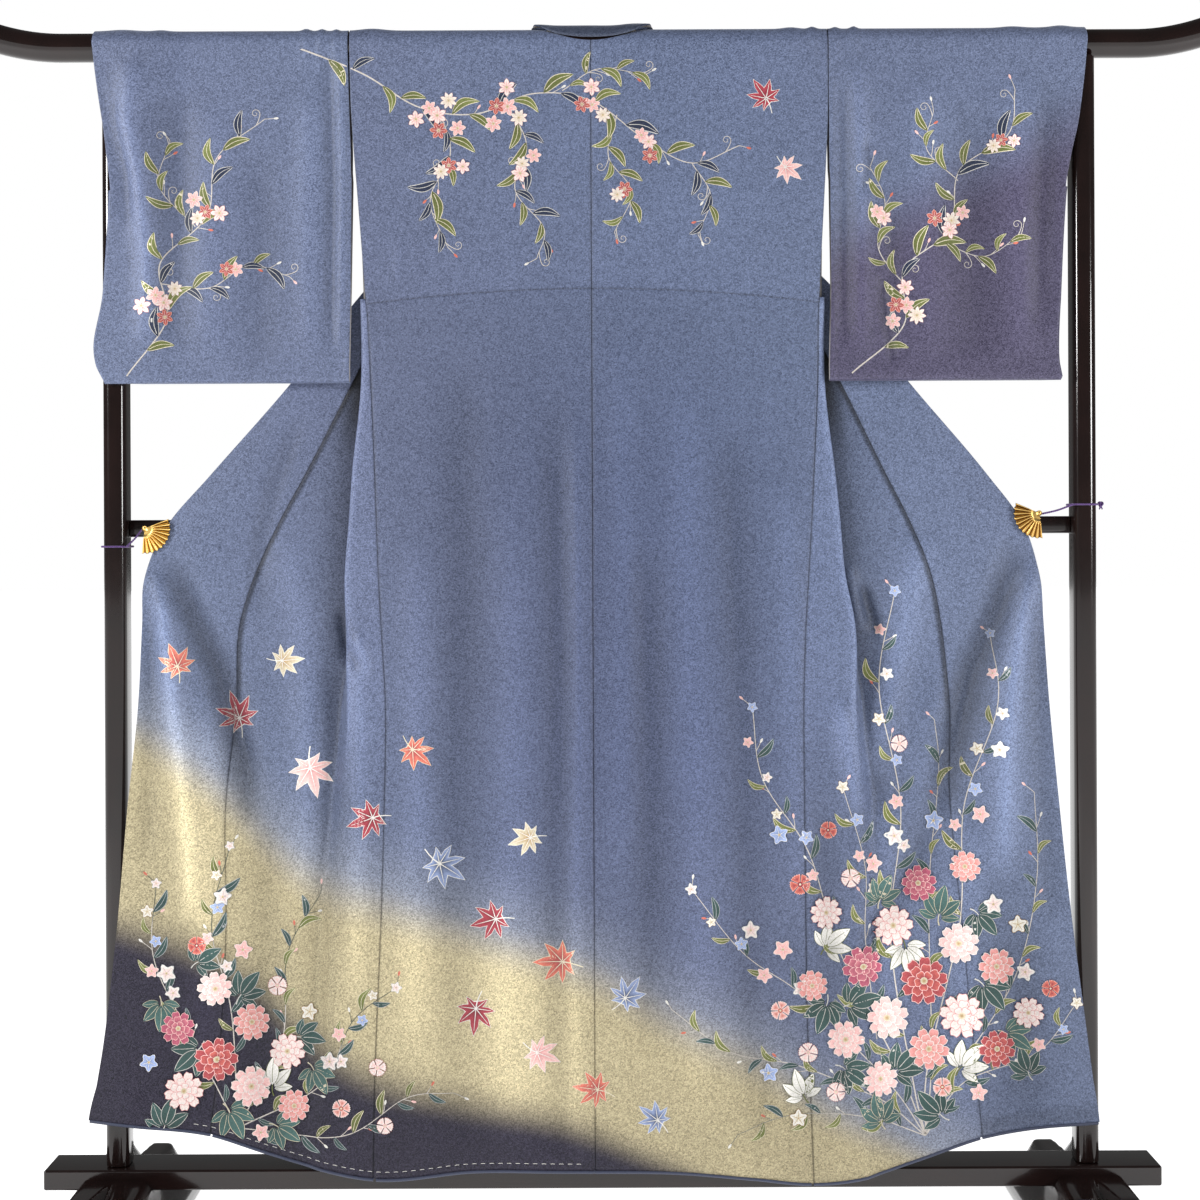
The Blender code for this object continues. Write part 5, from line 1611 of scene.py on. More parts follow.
def filled(outline, middle, layer, inner, outer):
    """A filled outline: triangles round a middle point, its colour inner there, outer at the rim."""
    outline = np.asarray(outline, float)
    n = len(outline)
    points = np.vstack([[middle], outline])
    colours = np.vstack([[inner], np.broadcast_to(outer, (n, 3))])
    k = np.arange(n)
    triangles = np.stack([0 * k, k + 1, (k + 1) % n + 1], axis=-1)
    return Stamp(points, np.full(n + 1, float(layer)), colours, triangles)


def rimmed(outline, middle, layer, inner, outer, rim, grow):
    """A filled outline over a copy in the rim's colour, grown by a length away from the middle."""
    outline = np.asarray(outline, float)
    away = outline - middle
    grown = outline + grow * away / (np.linalg.norm(away, axis=1)[:, None] + 1e-9)
    return [filled(grown, middle, layer, rim, rim), filled(outline, middle, layer + 1, inner, outer)]


def band(upper, lower, colours, layer):
    """A strip of triangles between two lines of equal count."""
    n = len(upper)
    k = np.arange(n - 1)
    first = np.stack([k, k + 1, k + n], axis=-1)
    second = np.stack([k + 1, k + n + 1, k + n], axis=-1)
    points = np.concatenate([upper, lower])
    return Stamp(points, np.full(2 * n, float(layer)), colours, np.concatenate([first, second]))


def ribbon(path, widths, colour, layer, step=0.35):
    """A drawn line: a strip along a smooth curve, its width interpolated along it."""
    line = along_path(path, step)
    heading = np.gradient(line, axis=0)
    heading /= np.linalg.norm(heading, axis=1)[:, None] + 1e-9
    side = np.stack([-heading[:, 1], heading[:, 0]], axis=-1)
    share = np.linspace(0, 1, len(line))
    half = np.interp(share, np.linspace(0, 1, len(widths)), widths)[:, None] / 2
    colours = np.broadcast_to(colour, (2 * len(line), 3)).copy()
    return band(line + side * half, line - side * half, colours, layer)


def petal(start, length, width, notch=0.0, point=0.0, steps=12):
    """An egg-shaped outline along +x from start: width swells as sin, shifted to the tip, with
    an optional notch in the tip or a drawn-out point."""
    turn = np.linspace(0, 2 * math.pi, steps, endpoint=False)
    along = (1 - np.cos(turn)) / 2
    across = np.sin(turn) * (width / 2) * (0.62 + 0.50 * along)
    tip = np.exp(-((across / (0.20 * width)) ** 2)) * (along > 0.5)
    reach = start + length * (along + (point - notch) * tip)
    return np.stack([reach, across], axis=-1)


def petals(count, shape, inner, outer, rim, layer, offset=0.0, line=0.03):
    """A ring of petals, each over a slightly larger one in the rim colour, paling outwards."""
    shapes = []
    for k in range(count):
        outline = petal(**shape)
        middle = (shape["start"] + shape["length"] * 0.5, 0)
        under, over = rimmed(outline, middle, layer, inner, outer, rim, line)
        share = np.clip((over.points[:, 0] - shape["start"]) / shape["length"], 0, 1)
        over = over._replace(colours=between(inner, outer, share**1.2), layers=over.layers + k % 2)
        turn = 360 * k / count + offset
        shapes += [moved(under, 0, 0, 1, turn), moved(over, 0, 0, 1, turn)]
    return joined(shapes)


def disc(radius, colour, layer, count=10, x=0.0, z=0.0, outer=None):
    turn = np.linspace(0, 2 * math.pi, count, endpoint=False)
    outline = np.stack([x + radius * np.cos(turn), z + radius * np.sin(turn)], axis=-1)
    return filled(outline, (x, z), layer, colour, colour if outer is None else outer)


def vine_flower(tone, heart, rim, count=6):
    """An open vine flower, one across: pointed petals with a rib each, round a tuft of stamens."""
    shape = dict(start=0.05, length=0.40, width=1.7 / count, point=0.14)
    shapes = [petals(count, shape, heart, tone, rim, 0, 15, 0.022)]
    for k in range(count):
        turn = 15 + 360 * k / count
        rib = ribbon([(0.1, 0), (0.25, 0), (0.40, 0)], [0.03, 0.012], rim, 4, 0.15)
        shapes.append(moved(rib, 0, 0, 1, turn))
        shapes.append(moved(disc(0.024, CREAM, 6, 5, 0.15, 0), 0, 0, 1, turn + 180 / count))
    shapes.append(disc(0.10, OCHRE, 5, 9, outer=CREAM))
    return joined(shapes)


def peony(dark, tone, light, rim, rings=3):
    """A full flower, one across: rings of broad notched petals that shorten to the middle."""
    shapes = []
    for ring in range(rings):
        count = 9 - 2 * ring
        reach = 0.5 * (1 - 0.30 * ring)
        inner = between(dark, tone, ring / rings * 0.6)
        outer = between(tone, light, 0.2 + 0.8 * ring / rings)
        width = 1.35 * math.pi * reach / count
        shape = dict(start=reach * 0.2, length=reach * 0.8, width=width, notch=0.13)
        shapes.append(petals(count, shape, inner, outer, rim, 3 * ring, 22 * ring, 0.013))
    shapes.append(disc(0.075, OCHRE, 3 * rings + 1, 9, outer=CREAM))
    return joined(shapes)


def star_flower(tone, heart, rim):
    """A five-pointed bellflower seen from the front, one across, with a vein to each point."""
    turn = np.linspace(0, 2 * math.pi, 30, endpoint=False)
    reach = 0.30 + 0.20 * (0.5 + 0.5 * np.cos(5 * turn)) ** 1.4
    outline = np.stack([reach * np.cos(turn), reach * np.sin(turn)], axis=-1)
    shapes = rimmed(outline, (0, 0), 0, heart, tone, rim, 0.028)
    for k in range(5):
        vein = ribbon([(0.08, 0), (0.22, 0), (0.38, 0)], [0.028, 0.01], rim, 2, 0.15)
        shapes.append(moved(vein, 0, 0, 1, 72 * k))
    shapes.append(disc(0.08, OCHRE, 3, 7, outer=CREAM))
    return joined(shapes)


def fringed_flower(tone, heart, rim):
    """A wild pink, one across: five wedge petals with toothed tips round a dark ring."""
    swing = np.radians(np.linspace(-31, 31, 11))
    reach = 0.45 + 0.045 * (np.arange(11) % 2)
    tip = np.stack([reach * np.cos(swing), reach * np.sin(swing)], axis=-1)
    outline = np.vstack([[(0.07, 0.02), (0.07, -0.02)], tip])
    shapes = []
    for k in range(5):
        parts = rimmed(outline, (0.28, 0), k % 2, heart, tone, rim, 0.022)
        shapes += [moved(part, 0, 0, 1, 72 * k) for part in parts]
    shapes.append(disc(0.13, heart * 0.6, 3, 10, outer=heart))
    shapes.append(disc(0.06, CREAM, 4, 6))
    return joined(shapes)


def leaf(tone, rim, curl=0.12, width=0.26):
    """A lance leaf from (0, 0) to (1, 0) with a bent middle, a fine rim and a midrib."""
    t = np.linspace(0, 1, 12)
    bend = curl * np.sin(math.pi * t)
    half = width / 2 * np.sin(math.pi * t**0.85) ** 0.9
    shapes = []
    for grow, colour, layer in ((0.022, rim, 0), (0.0, tone, 1)):
        edge = np.maximum(half + grow * (np.sin(math.pi * t) > 0.1), 0.004)
        colours = between(colour * 0.75, colour * 1.25, np.concatenate([t, t]))
        upper, lower = (np.stack([t, bend + way * edge], axis=-1) for way in (1, -1))
        shapes.append(band(upper, lower, colours, layer))
    shapes.append(ribbon(np.stack([t, bend], axis=-1)[1:-1:3], [0.022, 0.014], rim, 2, 0.12))
    return joined(shapes)


def parted_leaf(tone, rim):
    """A peony's leaf, about one across: three broad leaflets and two small ones from one stalk."""
    shapes = []
    for k, (turn, size) in enumerate(((-80, 0.42), (80, 0.42), (-40, 0.56), (40, 0.56), (0, 0.66))):
        leaflet = moved(leaf(tone * (1.15 - 0.25 * (turn < 0)), rim, 0.03, 0.44), 0.14, 0)
        shapes.append(moved(leaflet, -0.26, 0, size, turn, 2 * k))
    shapes.append(ribbon([(-0.42, -0.05), (-0.3, 0), (-0.15, 0)], [0.03, 0.02], rim, 2, 0.12))
    return joined(shapes)


def maple_leaf(tone, deep, rim, lobes=7):
    """A drifting maple leaf, about one across: pointed lobes, a vein to each and a bent stalk."""
    outline, veins = [], []
    for k in range(lobes):
        turn = 2.35 * (2 * k / (lobes - 1) - 1)
        reach = 0.62 - 0.12 * abs(turn)
        for swing, share in ((-0.39, 0.46), (-0.21, 0.66), (0.0, 1.0), (0.21, 0.66)):
            outline.append((share * reach * math.cos(turn + swing), share * reach * math.sin(turn + swing)))
        end = np.array([math.cos(turn), math.sin(turn)]) * reach * 0.82
        veins.append(ribbon([(0, 0), end / 2, end], [0.022, 0.008], rim, 2, 0.15))
    shapes = rimmed(outline, (0.02, 0), 0, deep, tone, rim, 0.022)
    stalk = ribbon([(0, 0), (-0.2, 0.02), (-0.42, 0.10)], [0.03, 0.02], rim, 2, 0.12)
    return joined(shapes + veins + [stalk])


def tendril(colour):
    """A vine's curled end: a straight start, then a spiral that winds in by one and a quarter turns."""
    t = np.linspace(0, 2.5 * math.pi, 14)
    radius = 0.3 * (1 - 0.8 * t / t[-1])
    curl = np.stack([0.7 + radius * np.sin(t), 0.3 - radius * np.cos(t)], axis=-1)
    return ribbon(np.vstack([[(0.0, 0.0), (0.35, -0.03)], curl]), [0.05, 0.03], colour, 1, 0.09)


VINE_FLOWERS = [
    vine_flower(WHITE, PALE_PINK, PINK),
    vine_flower(PALE_PINK, PINK, WHITE),
    vine_flower(CORAL, CRIMSON, PALE_PINK),
    vine_flower(WHITE, CREAM, PALE_PINK, 8),
]
STARS = [
    star_flower(WHITE, PALE_PINK, STEM * 1.6),
    star_flower(PALE_PINK, PINK, WHITE),
    star_flower(SLATE * 3.0, SLATE * 1.6, WHITE),
    star_flower(WHITE, CREAM, OCHRE),
]
FRINGED = [
    fringed_flower(WHITE, PALE_PINK, PINK),
    fringed_flower(CORAL * 1.3, CRIMSON, PALE_PINK),
    fringed_flower(PALE_PINK, CORAL, WHITE),
]
PEONIES = {
    "crimson": peony(CRIMSON * 0.8, CRIMSON * 1.3, CORAL * 1.5, PALE_PINK),
    "magenta": peony(MAGENTA * 0.6, MAGENTA, PINK, PALE_PINK),
    "pink": peony(PINK, PALE_PINK, WHITE, WHITE),
    "white": peony(PALE_PINK, WHITE * 0.95, WHITE, PINK * 0.9),
    "coral": peony(CORAL, PINK * 1.05, PALE_PINK, WHITE),
}
LEAVES = [
    leaf(OLIVE, CREAM),
    leaf(NAVY, WHITE * 0.75),
    leaf(OLIVE * 1.3, CREAM, 0.2),
    leaf(PINE, STEM * 1.4, -0.1),
]
PARTED = [
    parted_leaf(PINE, WHITE * 0.7),
    parted_leaf(WHITE * 0.9, OLIVE),
    parted_leaf(PINE * 1.6, CREAM * 0.8),
]
MAPLES = [
    maple_leaf(CORAL * 1.3, CRIMSON, CREAM),
    maple_leaf(CRIMSON * 1.4, CRIMSON * 0.6, WHITE),
    maple_leaf(SLATE * 2.4, NAVY, WHITE),
    maple_leaf(PALE_PINK, PINK * 0.8, WHITE),
    maple_leaf(CREAM, OCHRE, WHITE),
]


def twig(path, widths, layer, step=0.3):
    """A drawn stem: pale where it lies on dark cloth and dark on the mist."""
    line = ribbon(path, widths, TWIG_PALE, layer, step)
    ground = body_dye_and_shade(line.points[:, 0], line.points[:, 1]).mean(axis=-1)
    return line._replace(colours=between(TWIG_PALE, TWIG_DARK, ease((ground - 0.20) / 0.12)))


def heading_at(line, k):
    step = line[min(k + 1, len(line) - 1)] - line[max(k - 1, 0)]
    return math.degrees(math.atan2(step[1], step[0]))


# A drawn stem: what grows along it is a number of each thing, put alternately on both sides
Stem = namedtuple("Stem", "path width leaves kinds length buds blooms")


def stem_stamps(stem, chance, family):
    """The line itself, then leaves at even shares of its length, budded stalks between them
    and small flowers towards its end."""
    line = along_path(stem.path, 0.3)
    shapes = [twig(stem.path, [stem.width * 1.25, stem.width * 0.7], 0)]
    n = len(line)
    for k in range(stem.leaves):
        at = int(n * (0.10 + 0.84 * (k + 0.5 * chance.random()) / stem.leaves))
        lean = heading_at(line, at) + (1 if k % 2 else -1) * chance.uniform(24, 52)
        kind = LEAVES[stem.kinds[k % len(stem.kinds)]]
        size = stem.length * chance.uniform(0.75, 1.15)
        shapes.append(moved(kind, *line[at], size, lean, 3 + chance.uniform(0, 3)))
    for k in range(stem.buds):
        at = int((n - 1) * (0.25 + 0.75 * (k + 1) / stem.buds))
        lean = math.radians(heading_at(line, at) + (1 if k % 2 else -1) * chance.uniform(20, 55))
        tip = line[at] + chance.uniform(0.7, 1.7) * np.array([math.cos(lean), math.sin(lean)])
        shapes.append(twig([line[at], (line[at] + tip) / 2 + [0.05, 0.0], tip], [0.10, 0.08], 1, 0.4))
        tone = (WHITE, PALE_PINK, CORAL * 1.2)[k % 3]
        ball = filled(petal(0.0, 0.66, 0.36, point=0.15), (0.3, 0), 3, tone * 0.8, tone)
        shapes.append(moved(ball, *tip, 1.0, math.degrees(lean)))
    for k in range(stem.blooms):
        at = int((n - 1) * (0.45 + 0.55 * (k + 1) / stem.blooms))
        lean = math.radians(heading_at(line, at) + (70 if k % 2 else -70))
        away = chance.uniform(0.5, 1.1) * (at < n - 2)
        place = line[at] + away * np.array([math.cos(lean), math.sin(lean)])
        size = chance.uniform(1.7, 2.3) * (1.05 - 0.35 * k / stem.blooms)
        shapes.append(moved(family[k % len(family)], *place, size, chance.uniform(0, 72), 8))
    return shapes


Cluster = namedtuple("Cluster", "x height count size first")


def cluster_stamps(cluster, family, chance):
    """Flowers packed round a middle: one there, the others on a spiral of 137.5 degree steps."""
    shapes = []
    for k in range(cluster.count):
        turn = math.radians(137.5 * k + 40 * cluster.first)
        reach = 0.60 * cluster.size * math.sqrt(k)
        place = (cluster.x + reach * math.cos(turn), cluster.height + reach * math.sin(turn))
        tilt = chance.uniform(0, 72)
        size = cluster.size * chance.uniform(0.88, 1.08)
        kind = family[(cluster.first + k) % len(family)]
        shapes.append(moved(kind, *place, size, tilt, 8.3 + 7 * (k % 3)))
    return shapes


# Climbing vines over the shoulders and up the sleeves
VINE_STEMS = [
    # across the back from the left shoulder
    Stem(
        ((-44.0, 164.8), (-33.0, 160.4), (-25.0, 155.6), (-17.0, 154.6), (-9.0, 157.4),
         (-1.0, 156.4), (6.4, 151.0), (13.0, 147.6), (19.6, 150.0)),
        0.18, 17, (0, 1, 2), 4.4, 9, 0,
    ),
    Stem(
        ((-22.0, 155.0), (-20.6, 149.0), (-23.4, 142.6), (-21.0, 136.0)),
        0.13, 9, (1, 0), 4.0, 6, 0,
    ),
    Stem(
        ((-13.0, 156.2), (-10.0, 150.4), (-11.6, 144.0), (-7.6, 138.6), (-8.6, 134.4)),
        0.13, 10, (0, 1), 3.8, 7, 0,
    ),
    Stem(((2.6, 154.4), (1.4, 148.6), (4.6, 143.6), (2.2, 138.0)), 0.12, 7, (2, 0), 3.6, 6, 0),
    Stem(((13.0, 147.6), (15.6, 143.0), (13.8, 137.6)), 0.11, 5, (1, 0), 3.4, 4, 0),
    Stem(((-5.0, 157.8), (0.0, 160.8), (6.6, 160.0)), 0.11, 5, (2, 0), 3.4, 4, 0),
    # left sleeve
    Stem(
        ((-65.4, 118.2), (-60.0, 126.0), (-60.8, 134.0), (-54.4, 140.4), (-53.0, 148.6),
         (-46.4, 154.0)),
        0.16, 14, (0, 1, 2), 4.2, 7, 0,
    ),
    Stem(
        ((-60.6, 131.0), (-54.0, 130.4), (-48.6, 133.6), (-43.0, 132.0)),
        0.12, 7, (1, 0), 3.6, 5, 0,
    ),
    Stem(((-56.0, 139.0), (-61.0, 144.6), (-59.6, 151.0)), 0.11, 5, (2, 0), 3.4, 4, 0),
    # right sleeve
    Stem(
        ((35.0, 118.2), (42.2, 124.8), (42.4, 132.6), (48.8, 138.2), (50.2, 146.4), (57.0, 151.4),
         (58.0, 157.6)),
        0.16, 15, (0, 1, 0), 4.2, 8, 0,
    ),
    Stem(((42.6, 130.2), (38.8, 135.6), (39.8, 142.0), (37.8, 147.0)), 0.12, 7, (2, 0), 3.5, 5, 0),
    Stem(((47.0, 136.8), (53.4, 134.4), (58.6, 137.4)), 0.11, 5, (0, 2), 3.5, 4, 0),
    Stem(((50.0, 145.0), (45.6, 149.4), (46.6, 154.6)), 0.11, 4, (2, 0), 3.4, 4, 0),
]
VINE_CLUSTERS = [
    Cluster(-22.4, 154.4, 6, 2.5, 0),
    Cluster(-12.6, 155.6, 5, 2.6, 1),
    Cluster(-20.8, 147.4, 3, 2.3, 2),
    Cluster(-10.6, 147.6, 3, 2.3, 3),
    Cluster(-0.8, 155.8, 4, 2.4, 1),
    Cluster(7.0, 150.6, 3, 2.3, 0),
    Cluster(3.6, 144.0, 2, 2.1, 2),
    Cluster(-60.4, 128.4, 5, 2.4, 0),
    Cluster(-54.6, 141.0, 4, 2.3, 2),
    Cluster(-50.4, 133.0, 2, 2.1, 1),
    Cluster(42.6, 127.6, 5, 2.4, 1),
    Cluster(49.0, 139.4, 4, 2.3, 3),
    Cluster(39.6, 139.8, 2, 2.1, 0),
    Cluster(56.0, 150.6, 3, 2.1, 2),
]

# The growing clumps: tall stems first, then flowers and leaves over them
RIGHT_ROOT = (44.6, 12.8)
LEFT_ROOT = (-50.4, 14.2)
CLUMP_STEMS = [
    # right: stems that fan out of one root
    Stem(
        (RIGHT_ROOT, (43.0, 20.0), (40.0, 40.0), (41.6, 58.0), (38.8, 74.0), (41.0, 88.0)),
        0.16, 13, (3, 2), 3.5, 8, 7,
    ),
    Stem(
        (RIGHT_ROOT, (45.0, 22.0), (49.6, 42.0), (50.4, 58.0), (55.0, 72.0), (54.4, 82.0)),
        0.15, 13, (3, 0), 3.4, 8, 7,
    ),
    Stem(
        (RIGHT_ROOT, (48.0, 20.0), (57.0, 34.0), (60.2, 48.0), (60.0, 60.0)),
        0.13, 12, (2, 3), 3.3, 8, 0,
    ),
    Stem(
        (RIGHT_ROOT, (41.0, 22.0), (33.0, 38.0), (28.6, 52.0), (22.4, 62.0), (21.0, 72.0)),
        0.15, 13, (3, 2), 3.4, 8, 7,
    ),
    Stem(
        (RIGHT_ROOT, (39.6, 20.0), (28.0, 32.0), (19.6, 38.0), (12.4, 47.0)),
        0.13, 11, (3, 0), 3.4, 7, 5,
    ),
    Stem(
        (RIGHT_ROOT, (38.0, 18.0), (27.0, 22.6), (18.0, 24.4), (9.6, 30.4)),
        0.13, 11, (2, 3), 3.3, 7, 0,
    ),
    Stem((RIGHT_ROOT, (36.0, 15.6), (26.0, 15.8), (18.6, 13.2)), 0.12, 8, (3, 2), 3.2, 4, 0),
    Stem((RIGHT_ROOT, (50.0, 20.0), (60.0, 24.0), (65.6, 31.0)), 0.12, 8, (3, 2), 3.2, 4, 4),
    Stem(
        (RIGHT_ROOT, (45.6, 24.0), (45.4, 46.0), (47.0, 62.0), (46.4, 70.0)),
        0.13, 12, (2, 3), 3.2, 8, 0,
    ),
    Stem(((38.0, 26.0), (36.4, 40.0), (36.4, 50.0), (33.4, 61.0)), 0.12, 8, (3, 2), 3.2, 5, 4),
    # left: a lower clump
    Stem((LEFT_ROOT, (-57.6, 28.0), (-62.0, 38.0), (-61.6, 48.0)), 0.14, 11, (3, 2), 3.2, 6, 5),
    Stem((LEFT_ROOT, (-51.4, 30.0), (-54.0, 42.0), (-51.6, 53.0)), 0.14, 12, (3, 0), 3.3, 7, 5),
    Stem((LEFT_ROOT, (-44.4, 26.0), (-43.6, 38.0), (-39.0, 46.4)), 0.13, 12, (2, 3), 3.3, 8, 0),
    Stem((LEFT_ROOT, (-39.0, 20.0), (-34.4, 29.0), (-28.4, 33.6)), 0.13, 11, (3, 2), 3.2, 6, 5),
    Stem((LEFT_ROOT, (-36.0, 13.2), (-27.0, 18.4), (-20.6, 19.0)), 0.12, 11, (3, 0), 3.2, 7, 0),
]
# A flower or leaf of a kind, by its number or name, at a place
Bloom = namedtuple("Bloom", "kind x height size")
BLOOMS = [
    Bloom("crimson", 44.6, 34.0, 6.2),
    Bloom("pink", 39.4, 29.0, 5.6),
    Bloom("white", 49.8, 29.2, 5.8),
    Bloom("coral", 45.2, 24.6, 5.4),
    Bloom("magenta", 36.0, 36.2, 5.2),
    Bloom("pink", 49.4, 39.2, 5.2),
    Bloom("white", 40.4, 41.6, 5.2),
    Bloom("coral", 54.6, 36.0, 4.8),
    Bloom("magenta", 44.0, 47.4, 4.6),
    Bloom("pink", 33.6, 26.2, 4.8),
    Bloom("crimson", 54.6, 24.6, 4.8),
    Bloom("white", 31.0, 43.6, 4.2),
    Bloom("coral", 50.4, 49.8, 4.0),
    Bloom("pink", 38.4, 20.6, 4.6),
    Bloom("white", 59.0, 29.6, 4.0),
    Bloom("coral", 29.0, 33.6, 4.0),
    Bloom("crimson", -53.4, 23.6, 5.6),
    Bloom("pink", -48.6, 19.8, 5.2),
    Bloom("white", -57.8, 19.4, 5.0),
    Bloom("coral", -48.6, 28.6, 4.8),
    Bloom("magenta", -58.6, 28.0, 4.4),
    Bloom("pink", -53.6, 33.4, 4.4),
    Bloom("white", -43.6, 24.6, 4.6),
    Bloom("coral", -42.6, 17.2, 4.2),
]
SMALL_BLOOMS = [
    Bloom(0, 40.6, 54.0, 2.8),
    Bloom(1, 37.6, 50.2, 2.6),
    Bloom(2, 46.2, 56.0, 2.7),
    Bloom(0, 54.2, 44.6, 2.8),
    Bloom(3, 57.6, 41.8, 2.6),
    Bloom(1, 52.6, 57.0, 2.5),
    Bloom(5, 27.4, 47.6, 2.8),
    Bloom(2, 24.6, 54.4, 2.6),
    Bloom(4, 34.4, 48.4, 2.6),
    Bloom(1, 25.0, 38.6, 2.7),
    Bloom(0, 20.6, 41.2, 2.6),
    Bloom(6, 24.6, 30.2, 2.6),
    Bloom(4, 28.4, 24.4, 2.7),
    Bloom(2, 23.0, 21.6, 2.6),
    Bloom(0, 58.6, 35.2, 2.6),
    Bloom(5, 62.0, 33.0, 2.4),
    Bloom(4, 32.2, 19.0, 2.6),
    Bloom(3, 27.0, 15.4, 2.5),
    Bloom(6, 47.0, 19.4, 2.6),
    Bloom(1, 52.0, 18.6, 2.5),
    Bloom(4, 41.4, 66.8, 2.4),
    Bloom(0, 55.2, 66.0, 2.4),
    Bloom(5, 31.4, 55.0, 2.4),
    Bloom(0, -60.2, 35.6, 2.7),
    Bloom(1, -49.8, 38.6, 2.6),
    Bloom(5, -56.0, 39.4, 2.5),
    Bloom(4, -45.0, 33.6, 2.7),
    Bloom(3, -40.6, 30.0, 2.5),
    Bloom(0, -37.6, 23.4, 2.6),
    Bloom(6, -36.0, 17.0, 2.5),
    Bloom(4, -31.0, 22.6, 2.4),
    Bloom(2, -62.6, 23.4, 2.5),
    Bloom(0, -52.6, 46.0, 2.5),
    Bloom(1, -47.2, 13.6, 2.4),
    Bloom(4, -30.0, 14.6, 2.3),
]
CLUMP_LEAVES = [
    Bloom(0, 35.6, 31.2, 6.0),
    Bloom(1, 42.2, 37.4, 5.6),
    Bloom(0, 53.6, 32.4, 6.0),
    Bloom(2, 47.0, 44.2, 5.6),
    Bloom(0, 41.6, 22.6, 6.0),
    Bloom(1, 50.6, 23.0, 5.8),
    Bloom(0, 34.4, 21.4, 5.6),
    Bloom(2, 57.0, 26.0, 5.4),
    Bloom(0, 30.6, 29.8, 5.6),
    Bloom(1, 32.0, 39.6, 5.4),
    Bloom(0, 52.8, 42.4, 5.2),
    Bloom(2, 39.0, 46.2, 5.0),
    Bloom(0, 45.8, 16.6, 5.8),
    Bloom(2, 38.2, 16.0, 5.4),
    Bloom(1, 27.4, 19.6, 5.0),
    Bloom(0, 58.6, 22.4, 5.0),
    Bloom(0, -56.8, 24.2, 5.8),
    Bloom(2, -51.0, 15.4, 5.6),
    Bloom(1, -45.6, 21.0, 5.4),
    Bloom(0, -49.4, 33.2, 5.4),
    Bloom(2, -61.0, 30.2, 5.0),
    Bloom(0, -60.0, 15.8, 5.6),
    Bloom(2, -39.4, 21.2, 5.0),
    Bloom(0, -55.0, 37.6, 4.8),
    Bloom(2, -44.0, 13.8, 5.0),
    Bloom(0, -40.8, 26.4, 5.0),
]
DRIFT = [
    Bloom(0, -58.6, 78.0, 4.8),
    Bloom(1, -50.4, 70.6, 5.8),
    Bloom(4, -44.4, 78.6, 4.6),
    Bloom(3, -40.4, 63.8, 6.2),
    Bloom(1, -31.6, 57.0, 5.4),
    Bloom(0, -26.0, 66.4, 4.8),
    Bloom(2, -22.4, 50.6, 6.0),
    Bloom(1, -14.6, 43.0, 5.4),
    Bloom(4, -9.8, 54.2, 4.6),
    Bloom(0, -5.4, 37.0, 6.0),
    Bloom(2, 3.2, 32.0, 5.0),
    Bloom(1, -17.4, 30.6, 5.4),
    Bloom(3, -9.0, 24.6, 5.0),
    Bloom(0, -0.6, 19.4, 5.2),
    Bloom(2, 7.6, 15.2, 4.6),
    Bloom(1, 23.4, 156.6, 4.6),
    Bloom(3, 26.0, 147.0, 4.0),
]


def vine_stamps():
    chance = np.random.default_rng(11)
    shapes = []
    for stem in VINE_STEMS:
        shapes += stem_stamps(stem, chance, VINE_FLOWERS)
        line = along_path(stem.path, 0.3)
        for share, way in ((0.35, -1), (0.97, 1)):
            at = int(share * (len(line) - 1))
            curl = tendril(TWIG_PALE)
            curl = curl._replace(points=curl.points * [1, way])
            shapes.append(moved(curl, *line[at], 2.2, heading_at(line, at) + way * 35))
    for cluster in VINE_CLUSTERS:
        shapes += cluster_stamps(cluster, VINE_FLOWERS, chance)
    return shapes


def on_side(rows, way):
    """Those items that stand right of the middle (way 1) or left of it (way -1)."""
    return [item for item in rows if item.x * way > 0]


def clump_stamps(way):
    """What grows right of the middle (way 1) or left of it (way -1), from the back layer out."""
    chance = np.random.default_rng(23 + way)
    shapes = []
    for stem in CLUMP_STEMS:
        if stem.path[0][0] * way > 0:
            shapes += stem_stamps(stem, chance, STARS)
    for k, item in enumerate(on_side(CLUMP_LEAVES, way)):
        tilt = chance.uniform(-150, 150)
        size, up = item.size * 1.1, 5 + 8 * (k % 3)
        shapes.append(moved(PARTED[item.kind], item.x, item.height, size, tilt, up))
    for k, item in enumerate(on_side(SMALL_BLOOMS, way)):
        kind = (STARS + FRINGED)[item.kind]
        tilt = chance.uniform(0, 72)
        shapes.append(moved(kind, item.x, item.height, item.size, tilt, 28 + 6 * (k % 2)))
    for k, item in enumerate(on_side(BLOOMS, way)):
        tilt = chance.uniform(0, 40)
        size, up = item.size * 1.12, 41 + 12 * (k % 3)
        shapes.append(moved(PEONIES[item.kind], item.x, item.height, size, tilt, up))
    return shapes


def drift_stamps():
    chance = np.random.default_rng(5)
    shapes = []
    for item in DRIFT:
        tilt = chance.uniform(-180, 180)
        shapes.append(moved(MAPLES[item.kind], item.x, item.height, item.size * 1.12, tilt, 2))
    return shapes


def basting_stamps():
    """Loose white basting: a short stitch every 1.2 cm along the left part of the hem."""
    stamps = []
    for out in np.arange(3.0, 56.0, 1.2):
        near, far = hem_height("left", np.array([out, out + 0.6])) + 1.0
        path = [(-out, near), (-out - 0.3, (near + far) / 2 + 0.03), (-out - 0.6, far)]
        stamps.append(ribbon(path, [0.06, 0.06], WHITE, 1, 0.2))
    return stamps


# The cloth's relief as the viewer sees it: cells of an upright grid, and the greatest
# difference between neighbouring cells that still counts as one sheet
CELL = 0.2
STEP_IN_CLOTH = 0.35
RELIEF_X = np.arange(-73.0, 73.01, CELL)
RELIEF_Z = np.arange(6.0, 165.01, CELL)


